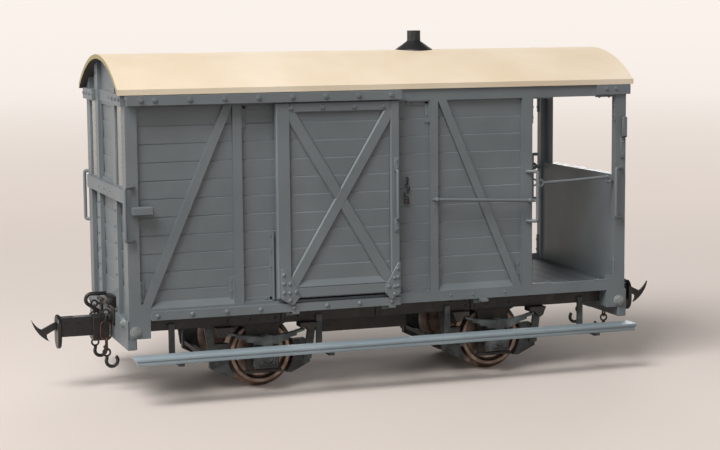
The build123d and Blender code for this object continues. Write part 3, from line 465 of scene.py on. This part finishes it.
def chamfered_joints(bm):
    """Narrows each joint line, tucks in the edge above it and slopes the lip below it."""
    trim_door(bm)
    for row in range(1, BOARDS):
        level = cantrail_low - BOARD_PITCH * row
        low, high = level - GROOVE / 2, level + GROOVE / 2
        shifted(bm, lambda p: abs(p.z - high) < 0.02, (0, 0, -GROOVE / 2))
        for corner in [v.co for v in bm.verts if abs(v.co.z - level) < 0.02 and on_face(v.co)]:
            if abs(abs(corner.x) - end_boards) < 0.02:
                corner.x -= TUCK if corner.x > 0 else -TUCK
            else:
                corner.y -= TUCK if corner.y > 0 else -TUCK
        shifted(bm, lambda p: abs(p.z - low) < 0.02, (0, 0, 0.2))
        shifted(bm, lambda p: abs(p.z - low - 0.2) < 0.02 and on_face(p), (0, 0, -LIP))


def on_face(p):
    """True for a corner in the plane of the boards' outer face."""
    return min(abs(abs(p.y) - side_boards), abs(abs(p.x) - end_boards), abs(abs(p.y) - door_boards)) < 0.02


def trim_door(bm):
    """The door's closing edge and the tracks' ends, taken in to where the photograph has them."""
    shifted(bm, lambda p: -0.1 < p.x - door_x[1] < 0.6, (-DOOR_TRIM, 0, 0))


BOARDING = (("side_boards_left", "van"), ("side_boards_right", "van"), ("door_boards_left", "door_left"),
            ("door_boards_right", "door_right"), ("cabin_end_boards", "van"), ("verandah_end_boards", "van"))
for name, body in BOARDING:
    softened(name, body, wagon_grey, 0.06, 1, chamfered_joints, 12)
for s, side in SIDES:
    softened(f"door_tracks_{side}", "van", wagon_grey, 0.2, 2, trim_door)

# Door framing: chamfered stiles, rails and crossed braces, a sloping ledge and riveted gussets
STILE, HEAD_RAIL, FOOT_RAIL, BRACE, CHAMFER = 6.0, 4.2, 4.6, 4.8, 0.5
TIMBER_DEPTH, LEDGE = 1.4, 2.6
GUSSET = ((1.2, 12.7), (3.2, 12.5), (8.8, 2.9), (9.0, 0.4), (6.2, -2.8), (3.2, -1.2), (1.2, 0.0))
DOOR_EDGES = ((door_x[0], 1), (door_x[1], -1))
for s, side in SIDES:
    door_high = far_corner(f"door_boards_{side}").z - 2.2
    inner_x = (door_x[0] + STILE, door_x[1] - STILE)
    inner_z = (door_low + FOOT_RAIL, door_high - HEAD_RAIL)
    back = door_face - TIMBER_DEPTH
    bm = bmesh.new()
    for x in ((door_x[0], inner_x[0]), (inner_x[1], door_x[1] - DOOR_TRIM)):
        timber(bm, x, (s * back, s * door_face), (door_low, door_high), CHAMFER)
    for z in ((door_low, inner_z[0]), (inner_z[1], door_high)):
        timber(bm, (inner_x[0] - 0.4, inner_x[1] + 0.4), (s * back, s * (door_face - 0.02)), z, CHAMFER)
    middle = Vector((sum(inner_x) / 2, s * (back + door_face) / 2, sum(inner_z) / 2))
    reach = Vector((inner_x[1] - inner_x[0], inner_z[1] - inner_z[0]))
    # The two braces lie at slightly different depths, so that their faces don't meet in one plane
    for lean, sunk in ((1, 0.05), (-1, 0.12)):
        own = bmesh.new()
        bmesh.ops.create_cube(own, size=1, matrix=Matrix.Translation(middle - Vector((0, s * sunk, 0)))
                              @ Matrix.Rotation(-lean * atan2(reach.y, reach.x), 4, "Y")
                              @ Matrix.Diagonal((reach.length + 3.0, TIMBER_DEPTH - 0.1, BRACE, 1)))
        rounded(own, CHAMFER, 1)
        join(bm, own)
    slope = [(inner_x[0], s * y, inner_z[0] + z) for y, z in ((back, 0), (door_face, 0), (back, LEDGE))]
    cut_out(bm, slope, (reach.x, 0, 0))
    for edge, lean in DOOR_EDGES:
        inset = 1.2 if lean > 0 else 0.2 + DOOR_TRIM
        sheet = [(edge + lean * max(x, inset), s * door_face, door_low + z) for x, z in GUSSET]
        cut_out(bm, sheet, (0, s * (gusset_face - door_face), 0), 0.2)
    piece(f"door_timbers_{side}", bm, wagon_grey, f"door_{side}", (f"door_frame_{side}",))

# Footboards: a plank with a deep front lip, packed off each hanger
PLANK = 1.3
HANGERS_X = (-91.5, -28.8, 28.8, 91.5)
for s, side in SIDES:
    low, high = near_corner(f"footboard_{side}"), far_corner(f"footboard_{side}")
    inner, outer = sorted((abs(low.y), abs(high.y)))
    under = (low.z, high.z - PLANK)
    bm = bmesh.new()
    plate(bm, (low.x, high.x), (s * inner, s * outer), (under[1], high.z))
    plate(bm, (low.x + 0.6, high.x - 0.6), (s * (outer - 3.2), s * (outer - 0.35)), under)
    for x in HANGERS_X:
        plate(bm, (x - 1.6, x + 1.6), (s * (inner + 0.4), s * (outer - 3.4)), under)
    rounded(bm, 0.25, 2)
    piece(f"footboard_plank_{side}", bm, footboard_blue, "van", (f"footboard_{side}",))

# End windows: panes close behind the posts' faces, in beading that reaches back to the boards
panes_low, panes_high = near_corner("cabin_end_windows"), far_corner("cabin_end_windows")
PANE_INNER, PANE_SHEET, PANE_BACK, BEAD = 20.6, 0.4, 0.5, 0.7
pane_outer = panes_high.y
panes = bmesh.new()
beads = bmesh.new()
for s, side in SIDES:
    across = (s * PANE_INNER, s * pane_outer)
    pane_x = -end_face + PANE_BACK
    plate(panes, (pane_x, pane_x + PANE_SHEET), across, (panes_low.z, panes_high.z))
    front = (panes_low.x, -end_face + 0.35)
    for z in (panes_low.z, panes_high.z - BEAD):
        plate(beads, front, across, (z, z + BEAD))
    for y in (PANE_INNER, pane_outer - BEAD):
        plate(beads, front, (s * y, s * (y + BEAD)), (panes_low.z + BEAD, panes_high.z - BEAD))
piece("end_glazing", panes, acetate, "van", ("cabin_end_windows",))
piece("window_beads", beads, wagon_grey, "van")

# Wheels: the two tyres of each wheelset, each with a rounded flange
TYRE = ((21.0, 1.6), (21.0, 4.0), (22.4, 4.6), (22.9, 9.4), (21.3, 11.0), (21.0, 11.4), (21.0, 14.5),
        (21.2, 15.0), (21.6, 15.18), (22.0, 15.0), (22.4, 14.2), (22.8, 13.5), (23.3, 13.15), (25.7, 13.0),
        (26.0, 12.7), (26.0, 11.5), (25.8, 11.2), (24.6, 10.8), (24.2, 10.2), (24.0, 5.4), (25.2, 4.4),
        (26.0, 4.1), (26.0, 1.6), (21.0, 1.6))
for s, end in ENDS:
    bm = bmesh.new()
    for t in (-1, 1):
        spun(bm, [(s * wheel_x, t * y, axle_z + r) for y, r in TYRE], (s * wheel_x, 0, axle_z), (0, 1, 0), 72)
    piece(f"tyres_{end}", bm, wheel_steel, f"wheelset_{end}", (f"wheels_{end}",))

# Stove pipe with its conical cowl and rolled rim
bm = bmesh.new()
chimney = (near_corner("chimney") + far_corner("chimney")) / 2
PIPE = ((0.0, 7.9), (2.1, 7.9), (2.1, 8.25), (2.4, 8.25), (2.9, 8.25), (2.9, 3.9), (3.4, 3.4), (8.0, 0.2),
        (8.2, -0.3), (7.9, -1.2), (0.0, -1.2))
spun(bm, [(chimney.x + r, chimney.y, crown_z + z) for r, z in PIPE], chimney, (0, 0, 1), 48)
piece("stove_pipe", bm, stove_black, "van", ("chimney",), 30)

# Fittings of the two long sides: positions along the van, and heights over the sill or the body's foot
TRACK_BOLTS_X = [-104.2] + [-14.1 * i for i in range(8)]
TRACK_BOLTS_Z, CORNER_PLATE_Z = 121.9, 122.0
GUIDE_RIVETS_X = [14.2 * i - 99.0 for i in range(8)]
CORNER_PLATE_X = (100.1, 104.7)
SILL_RIVETS_X = (-96.0, -86.0, -76.0, 28.0, 38.0, 52.8)
SOLEBAR_RIVETS_X = (-92.7, -67.8, -58.1, -47.6, -37.7, -30.3, 30.3, 37.7, 47.6, 58.1, 67.8, 92.7)
DOOR_HEAD_BOLTS_X = (6.2, 19.6, 33.2, 46.0)
GUSSET_RIVETS = ((1.9, 9.9), (1.9, 6.3), (4.4, 6.1), (1.9, 2.6), (4.3, 2.4), (6.9, 2.6), (4.4, -0.7))
GUIDE_STRAPS_X = (-43.6, -2.0, 41.2)
FOOT_SCREWS_X = [-105.0 + 15.0 * i for i in range(15)]
FOOT_SCREW_ROWS = (45.6, 50.4)
COVER_BOLTS = [(x, z) for x in (-2.3, 2.3) for z in (-3.0, 2.6)]
SPRING_OUT, SPRING_SEAT = 36.0, 2.2
HANDLE_FOOT, HANDLE_SPAN, HANDLE_INSET, HANDLE_ROD = 26.5, 25.2, 3.4, 0.7
RAIL_HIGH, RAIL_FALL, RAIL_OUT, RAIL_ROD = 39.2, 2.3, 3.0, 0.7
GRAB_LOW, GRAB_HIGH, GRAB_LEAN, GRAB_OUT, GRAB_ROD = 28.0, 49.2, 3.6, 3.0, 0.75
LAMP_IRON = ((0.0, 0.8, 53.5, 63.3), (0.0, 2.6, 62.5, 63.3), (1.8, 2.6, 62.5, 71.3))
LEG, THICK, HOLES_IN, VERANDAH_LEG = 2.0, 0.5, 1.25, 11.0
OPENING_CORNERS = [(x, lean, z, rise) for x, lean in ((post4[1], 1), (corner_post, -1))
                   for z, rise in ((sill_top, 1), (cantrail_low, -1))]
UPRIGHTS = ((door_x[0] - 0.5, -1, sill_top + 0.6, 28.6), (post2[0], -1, sill_top + 0.2, 11.0),
            (post3[1], 1, sill_top + 0.2, 11.0), (post4[0], -1, sill_top + 0.2, 11.0),
            (-corner_post, 1, sill_top + 2.3, 9.0), (post2[1], 1, cantrail_low - 9.4, 9.4),
            (post3[0], -1, cantrail_low - 9.4, 9.4))
LEVELS = ((post2[1], door_x[0] - 1.2, sill_top, 1), (door_x[1] + 0.6, post3[0], sill_top, 1),
          (post2[1], door_x[0] - 1.2, cantrail_low, -1), (door_x[1] + 2.6, post3[0], cantrail_low, -1))
for s, side in SIDES:
    out = (0, s, 0)

    # Bolts and rivets of the door's tracks, the sill and the plate at the verandah's corner
    bm = bmesh.new()
    for x in TRACK_BOLTS_X:
        bolt(bm, on_side(s, x, track_face, TRACK_BOLTS_Z), out, 1.0)
    for x in GUIDE_RIVETS_X:
        rivet(bm, on_side(s, x, guide_face, body_low + 1.8), out, 1.0)
    for x in CORNER_PLATE_X:
        bolt(bm, on_side(s, x, side_face + 1.0, CORNER_PLATE_Z), out, 0.7)
    for x in SILL_RIVETS_X:
        rivet(bm, on_side(s, x, side_face, sill_top - 2.2), out, 0.6)
    piece(f"side_bolts_{side}", bm, wagon_grey, "van")

    bm = bmesh.new()
    for x in SOLEBAR_RIVETS_X:
        for rise in (2.2, 4.6):
            rivet(bm, on_side(s, x, solebar_face, solebar_low + rise), out, 0.6)
    piece(f"solebar_rivets_{side}", bm, underframe, "van")

    # Bolts, gusset rivets and the gussets' fold lines, which travel with the door
    bm = bmesh.new()
    for x in DOOR_HEAD_BOLTS_X:
        bolt(bm, on_side(s, door_x[0] + x, door_face, cantrail_low - 1.6), out, 0.95)
    for x, z in GUSSET_RIVETS:
        for edge, lean in DOOR_EDGES:
            inset = max(x + 0.4, 2.3 if lean > 0 else 3.3)
            rivet(bm, on_side(s, edge + lean * inset, gusset_face, door_low + z + 0.2), out, 0.85)
    for edge, lean in DOOR_EDGES:
        plate(bm, (edge + lean * 1.4, edge + lean * 8.6), (s * gusset_face, s * (gusset_face + 0.12)),
              (door_low + 0.1, door_low + 0.4))
    piece(f"door_bolts_{side}", bm, wagon_grey, f"door_{side}")

    # Pull handle: a round bar between two flattened feet, each with two rivets
    bm = bmesh.new()
    pull_x, foot = door_x[1] - HANDLE_INSET, sill_top + HANDLE_FOOT
    for z in (foot, foot + HANDLE_SPAN):
        plate(bm, (pull_x - 1.1, pull_x + 1.1), (s * (door_face - 0.1), s * (door_face + 0.6)), (z, z + 5.8))
    rounded(bm, 0.3, 2)
    for z in (1.3, 4.2, 26.7, 29.7):
        rivet(bm, on_side(s, pull_x, door_face + 0.6, foot + z), out, 0.5)
    bends = ((0.3, 5.2), (1.5, 5.8), (1.5, 25.2), (0.3, 25.8))
    bent_rod(bm, [on_side(s, pull_x, door_face + y, foot + z) for y, z in bends], HANDLE_ROD, 0.5)
    piece(f"door_handle_bar_{side}", bm, wagon_grey, f"door_{side}",
          (f"door_handle_{side}",), 40)

    # Handrail beside the verandah: a round rod in two eyes
    bm = bmesh.new()
    rail_y, rail_high = s * (side_face + RAIL_OUT), sill_top + RAIL_HIGH
    rail_ends = ((post3[0] - 0.4, rail_y, rail_high), (post4[1], rail_y, rail_high - RAIL_FALL))
    bent_rod(bm, rail_ends, RAIL_ROD, 0)
    for x in (sum(post3) / 2, sum(post4) / 2):
        z = rail_high - RAIL_FALL * (x - post3[0]) / (post4[1] - post3[0])
        bent_rod(bm, (on_side(s, x, side_face - 0.1, z), (x, rail_y, z)), 0.55, 0)
        bmesh.ops.create_uvsphere(bm, u_segments=12, v_segments=8, radius=1.05,
                                  matrix=Matrix.Translation((x, rail_y, z)))
    piece(f"handrail_rod_{side}", bm, wagon_grey, "van", (f"handrail_{side}",), 40)

    # Grab handles of bent round rod, and the lamp iron on the verandah's corner post
    bm = bmesh.new()
    grab_low, grab_high = sill_top + GRAB_LOW, sill_top + GRAB_HIGH
    corner_x = end_face - 2.4
    for x, lean in ((-corner_x, -GRAB_LEAN), (sum(post4) / 2, GRAB_LEAN), (corner_x, -GRAB_LEAN)):
        corners = [on_side(s, x + dx, side_face + y, z) for dx, y, z in (
            (0, -0.1, grab_low), (0, 1.0, grab_low), (lean, GRAB_OUT, grab_low), (lean, GRAB_OUT, grab_high),
            (0, 1.0, grab_high), (0, -0.1, grab_high))]
        bent_rod(bm, corners, GRAB_ROD, 0.9)
        for z in (grab_low, grab_high):
            rod(bm, on_side(s, x, side_face, z), out, 1.1, ((0.35,),), 14)
    own = bmesh.new()
    iron = (end_face - 2.8, end_face - 0.6)
    for inner, outer, low, high in LAMP_IRON:
        thick = (s * (side_face + inner), s * (side_face + outer))
        plate(own, iron, thick, (sill_top + low, sill_top + high))
    rounded(own, 0.18, 1)
    join(bm, own)
    for z in (55.0, 60.4):
        rivet(bm, on_side(s, end_face - 1.7, side_face + 0.8, sill_top + z), out, 0.5)
    piece(f"grab_rods_{side}", bm, wagon_grey, "van", (f"grab_handles_{side}",), 40)

    # Bar across the verandah opening: round rod with an eye, hooked over a staple
    bm = bmesh.new()
    eye_at = Vector(on_side(s, post4[1] + 4.6, side_boards, sill_top + 43.6))
    hook_at = Vector(on_side(s, corner_post - 2.6, side_boards, sill_top + 45.2))
    chain_link(bm, eye_at, 3.8, 3.7, 0.58, False)
    bent_rod(bm, (eye_at + Vector((1.4, 0, 0.1)), hook_at, hook_at + Vector((1.5, 0, -1.3)),
                  hook_at + Vector((0.6, 0, -2.4)), hook_at + Vector((-1.0, 0, -2.0))), 0.62, 0.45)
    chain_link(bm, eye_at - Vector((2.9, 0, 0)), 2.4, 3.4, 0.4, False)
    bent_rod(bm, (hook_at + Vector((2.7, 0, -2.1)), hook_at + Vector((-0.2, 0, -1.5))), 0.42, 0)
    piece(f"verandah_rod_{side}", bm, wagon_grey, "van", (f"verandah_bar_{side}",), 40)

    # Angle irons in the corners of the bays, behind the door's path
    bm = bmesh.new()
    standing = (s * side_boards, s * (side_face - 0.15))
    lying = (s * side_boards, s * (side_boards + THICK))
    for x, lean, z, tall in UPRIGHTS:
        plate(bm, (x, x + lean * THICK), standing, (z, z + tall))
        plate(bm, (x, x + lean * LEG), lying, (z, z + tall))
    for x0, x1, z, lean in LEVELS:
        plate(bm, (x0, x1), standing, (z, z + lean * THICK))
        plate(bm, (x0, x1), lying, (z, z + lean * LEG))
    rounded(bm, 0.12, 1)
    for x, lean, z, tall in UPRIGHTS:
        number, gap = (3, 6.5) if tall > 20 else (2, 4.3)
        for i in range(number):
            high = z + tall - 1.9 - gap * i
            bolt(bm, on_side(s, x + lean * HOLES_IN, side_boards + THICK, high), out, 0.5)
    for x0, x1, z, lean in LEVELS:
        for x in (x0 + 2.6, x1 - 2.6):
            bolt(bm, on_side(s, x, side_boards + THICK, z + lean * 1.3), out, 0.5)
    piece(f"angle_irons_{side}", bm, wagon_grey, "van")

    # Angle irons in the corners of the verandah opening
    bm = bmesh.new()
    y = (s * (side_boards + 0.2), s * (side_face - 0.2))
    middle = (y[0] + y[1]) / 2
    for x, lean, z, rise in OPENING_CORNERS:
        plate(bm, (x, x + lean * THICK), y, (z, z + rise * VERANDAH_LEG))
        plate(bm, (x, x + lean * 9.4), y, (z, z + rise * THICK))
    rounded(bm, 0.12, 1)
    for x, lean, z, rise in OPENING_CORNERS:
        for d in (4.0, 8.6):
            bolt(bm, (x + lean * THICK, middle, z + rise * d), (lean, 0, 0), 0.5)
            bolt(bm, (x + lean * (d - 1.0), middle, z + rise * THICK), (0, 0, rise), 0.5)
    piece(f"verandah_angles_{side}", bm, wagon_grey, "van")

    # Padlock and its short chain on a staple beside the door
    bm = bmesh.new()
    hang = Vector(on_side(s, door_x[1] + 3.0, side_boards + 0.9, sill_top + 47.6))
    rod(bm, hang + Vector((0, -s * 0.9, 0.9)), out, 0.25, ((0.5,), (0.55, -s * 90, (1, 0, 0)), (0.3,)), 8)
    for i in range(6):
        chain_link(bm, hang - Vector((0.25 * i * (i % 3 - 1), 0, 1.25 * i)), 1.9, 1.1, 0.2, i % 2 == 1)
    lock = hang - Vector((0.3, 0, 8.9))
    chain_link(bm, lock + Vector((0, 0, 1.1)), 2.2, 1.7, 0.22, False)
    own = bmesh.new()
    block(own, lock + Vector((-1.1, -0.5, -1.3)), lock + Vector((1.1, 0.5, 0.9)))
    rounded(own, 0.3, 2)
    join(bm, own)
    piece(f"door_padlock_{side}", bm, coupling_black, "van", (), 40)

    # Straps of the guide rail's brackets, down the face of the solebar
    bm = bmesh.new()
    for x in GUIDE_STRAPS_X:
        plate(bm, (x - 1.5, x + 1.5), (s * solebar_face, s * (solebar_face + 0.9)),
              (solebar_low + 0.2, body_low - 0.2))
    rounded(bm, 0.2, 1)
    for x in GUIDE_STRAPS_X:
        rivet(bm, on_side(s, x, solebar_face + 0.9, solebar_low + 1.6), out, 0.5)
    piece(f"guide_straps_{side}", bm, underframe, "van")

    # Axlebox covers with their bolts, and the bolts of the springs
    bm = bmesh.new()
    cover = far_corner("axleboxes_left").y
    for x in (-wheel_x, wheel_x):
        own = bmesh.new()
        bmesh.ops.create_cone(own, cap_ends=True, segments=24, radius1=2.3, radius2=1.9, depth=0.5,
                              matrix=to_place((x, s * (cover + 0.2), axle_z - 0.6), out))
        join(bm, own)
        for dx, dz in COVER_BOLTS:
            bolt(bm, on_side(s, x + dx, cover, axle_z + dz), out, 0.45)
        for dx in (-3.4, 3.4):
            bolt(bm, on_side(s, x + dx, cover - 0.8, axle_z - 4.0), out, 0.4)
        bolt(bm, on_side(s, x, SPRING_OUT, far_corner("springs_left").z - SPRING_SEAT), (0, 0, 1), 0.8)
    piece(f"axlebox_covers_{side}", bm, running_grey, "van")

    # Two rows of screws down the footboard
    bm = bmesh.new()
    for x in FOOT_SCREWS_X:
        for y in FOOT_SCREW_ROWS:
            rivet(bm, on_side(s, x, y, footboard_top - 0.15), (0, 0, 1), 0.42)
    piece(f"footboard_screws_{side}", bm, footboard_blue, "van")

# Ends: bolts on the posts, corner plates and headstock
waist_z = near_corner("cabin_end_frame").z + 49.6
POST_BOLTS, POST_BOLT_GAP, CORNER_BOLTS_Y = 6, 6.6, (24.3, 31.0, 37.6)
HEAD_BOLT_Y, HEAD_BOLT_X = 34.5, 107.4
CHAIN_OUT, CHAIN_WIRE = 12.6, 0.42
CHAIN_LINKS = ((4.4, 2.9, True), (8.6, 5.2, False), (6.2, 2.9, True), (3.8, 3.8, False))
RING_HEIGHT = 5.0
for e, end in ENDS:
    out = (e, 0, 0)
    bm = bmesh.new()
    for s in (-1, 1):
        for i in range(POST_BOLTS):
            bolt(bm, (e * end_face, s * end_post, sill_top + 5.0 + POST_BOLT_GAP * i), out, 0.6)
        for face, rise in ((head_face, 3.4), (end_face, 12.4)):
            bolt(bm, (e * face, s * end_post, cantrail_low + rise), out, 0.6)
        for y in CORNER_BOLTS_Y:
            bolt(bm, (e * head_face, s * y, cantrail_low + 3.2), out, 0.75)
    for y in (-end_post + 5.2, 0, end_post - 5.2):
        rivet(bm, (e * (end_face + 1.0), y, waist_z), out, 0.5)
    piece(f"end_bolts_{end}", bm, wagon_grey, "van")

    # Large hexagon bolts that hold the headstock, on its face and through the corner feet
    bm = bmesh.new()
    for s in (-1, 1):
        bolt(bm, (e * headstock_face, s * HEAD_BOLT_Y, body_low - 1.6), out, 1.8)
        bolt(bm, (e * HEAD_BOLT_X, s * side_face, body_low - 4.9), (0, s, 0), 2.0)
    piece(f"headstock_bolts_{end}", bm, bolt_grey, "van")

    # Side chains: eye, links and hook of round wire, and the spare hook over the coupler
    bm = bmesh.new()
    rings = bmesh.new()
    tip = headstock_face
    chain_x = e * (tip + 3.1)
    eye_z = body_low - 0.6
    for s in (-1, 1):
        y = s * CHAIN_OUT
        timber(bm, (e * tip, e * (tip + 0.9)), (y - 4.0, y + 4.0), (eye_z - 5.0, eye_z + 2.8), 0.3, 2)
        for dy, dz in ((-2.9, 1.7), (2.9, 1.7), (-2.9, -3.9), (2.9, -3.9)):
            bolt(bm, (e * (tip + 0.9), y + dy, eye_z + dz), out, 0.55)
        rod(bm, (e * (tip + 0.4), y, eye_z), out, 0.45, ((1.4,),))
        chain_link(bm, (chain_x, y, eye_z), 3.5, 3.4, CHAIN_WIRE, False)
        low = eye_z - 1.7
        for tall, wide, across in CHAIN_LINKS:
            low = low + 1.55 - tall
            held = rings if tall > RING_HEIGHT else bm
            chain_link(held, (chain_x, y, low + tall / 2), tall + 0.02, wide, CHAIN_WIRE, across)
        rod(bm, (chain_x, y, low + 0.35), (0, 0, -1), 0.75,
            ((0.7,), (1.6, -e * 20, (0, 1, 0)), (2.4, e * 245, (0, 1, 0))), 12)
    piece(f"side_chain_hooks_{end}", bm, coupling_black, "van", (f"side_chains_{end}",), 40)
    piece(f"side_chain_rings_{end}", rings, browned_wire, "van", (), 40)

    bm = bmesh.new()
    timber(bm, (e * (end_boards - 1.0), e * (tip + 0.9)), (-6.0, 6.0), (body_low, body_low + 4.6), 0.35, 2)
    rod(bm, (e * (tip + 0.4), 0, body_low + 5.6), out, 0.8, ((6.2,), (2.4, e * 145, (0, 1, 0)), (5.6,)), 12)
    for y in (-4.2, 4.2):
        bolt(bm, (e * (tip + 0.9), y, body_low + 2.3), out, 0.7)
    # Pin across the coupler's hook, and the screw heads on the sides of its shank
    rod(bm, (e * (tip + 17.6), -3.4, body_low - 6.0), (0, 1, 0), 0.6, ((6.8,),))
    for s in (-1, 1):
        for y, radius, length, sides in ((2.6, 1.5, 0.7, 20), (3.2, 0.7, 0.5, 12)):
            rod(bm, (e * (tip + 12.2), s * y, body_low - 7.2), (0, s, 0), radius, ((length,),), sides)
    piece(f"spare_hook_{end}", bm, coupling_black, "van", (), 40)

# Backdrop: a floor that turns up into a low pale rim all round, in metres
FLOOR_RADIUS, RIM_HEIGHT = 2.6, 0.9
bm = bmesh.new()
verts = [bm.verts.new(p) for p in ((0, 0, 0), (FLOOR_RADIUS, 0, 0))]
bm.edges.new(verts)
bmesh.ops.spin(bm, geom=[verts[1]], cent=(FLOOR_RADIUS, 0, RIM_HEIGHT), axis=(0, 1, 0), angle=-pi / 2,
               steps=12)
bmesh.ops.spin(bm, geom=bm.verts[:] + bm.edges[:], cent=(0, 0, 0), axis=(0, 0, 1), angle=2 * pi, steps=96,
               use_merge=True)
bmesh.ops.remove_doubles(bm, verts=bm.verts, dist=1e-5)
bmesh.ops.recalc_face_normals(bm, faces=bm.faces)
mesh = bpy.data.meshes.new("paper_sweep")
bm.to_mesh(mesh)
bm.free()
mesh.polygons.foreach_set("use_smooth", [True] * len(mesh.polygons))
sweep = bpy.data.objects.new("paper_sweep", mesh)
bpy.context.scene.collection.objects.link(sweep)
paper, shader, place = finish("pale_paper", "#E6DAD2", 0.95)
sweep.data.materials.append(paper)
distance = add(paper, "ShaderNodeVectorMath", dict(operation="LENGTH"), i0=place).outputs["Value"]
far = add(paper, "ShaderNodeMapRange", i0=distance, i1=0.8, i2=3.4).outputs[0]
glow = add(paper, "ShaderNodeMix", dict(data_type="RGBA"), i0=far, i6=linear("#E0D4CC"), i7=linear("#FDF6EF"))
rays = add(paper, "ShaderNodeLightPath")
seen = add(paper, "ShaderNodeMath", dict(operation="ADD"), i0=rays.outputs["Is Camera Ray"],
           i1=rays.outputs["Is Glossy Ray"]).outputs[0]
seen = add(paper, "ShaderNodeMath", dict(operation="ADD", use_clamp=True), i0=seen,
           i1=rays.outputs["Is Transmission Ray"]).outputs[0]
near = add(paper, "ShaderNodeMapRange", i0=distance, i1=0.25, i2=0.75).outputs[0]
share = add(paper, "ShaderNodeMath", dict(operation="MULTIPLY"), i0=seen, i1=near)
plain = add(paper, "ShaderNodeEmission", Color=glow.outputs[2])
# The van's underside sees a darker ground than the camera does, so it stays in shade
coloured(paper, shader, rays.outputs["Is Diffuse Ray"], "#E6DAD2", "#6E625B")
both = add(paper, "ShaderNodeMixShader", i0=share.outputs[0], i1=shader.outputs[0], i2=plain.outputs[0])
paper.node_tree.links.new(both.outputs[0], paper.node_tree.nodes["Material Output"].inputs[0])

# Light: a broad soft key high on the viewer's left, low fills on the front, the end and the back, a pale room
world = bpy.data.worlds.new("studio")
bpy.context.scene.world = world
world.use_nodes = True
world.node_tree.nodes["Background"].inputs["Color"].default_value = linear("#F8F3EE")
world.node_tree.nodes["Background"].inputs["Strength"].default_value = 0.16

# Each lamp's name, place and width in metres, and power in watts
LAMPS = (("high_key", (-0.85, -0.62, 1.3), 0.9, 24.0), ("front_fill", (-0.5, -1.8, 0.6), 1.2, 6.5),
         ("end_fill", (-1.9, 0.15, 0.2), 0.8, 13.0), ("back_fill", (0.8, 1.7, 0.55), 1.0, 15.0))
for name, at, size, power in LAMPS:
    lamp = bpy.data.lights.new(name, "AREA")
    lamp.size = size
    lamp.energy = power
    holder = bpy.data.objects.new(name, lamp)
    holder.location = at
    holder.rotation_euler = (Vector((0, 0, 0.07)) - Vector(at)).to_track_quat("-Z", "Y").to_euler()
    bpy.context.scene.collection.objects.link(holder)

# Camera
camera = bpy.data.cameras.new("camera")
camera.lens = FOCAL_MM
camera.sensor_width = SENSOR_MM
camera.clip_start = 0.01
eye = bpy.data.objects.new("camera", camera)
tilted = Matrix.Rotation(CAMERA_TILT, 3, "X") @ Matrix.Rotation(CAMERA_ROLL, 3, "Y")
right, forward, up = tilted @ Matrix.Rotation(CAMERA_TURN, 3, "Z")
facing = Matrix((right, up, -forward)).transposed().to_4x4()
eye.matrix_world = Matrix.Translation(Vector(CAMERA_AT) * MM) @ facing
bpy.context.scene.collection.objects.link(eye)
bpy.context.scene.camera = eye
bpy.context.scene.view_settings.view_transform = "Standard"
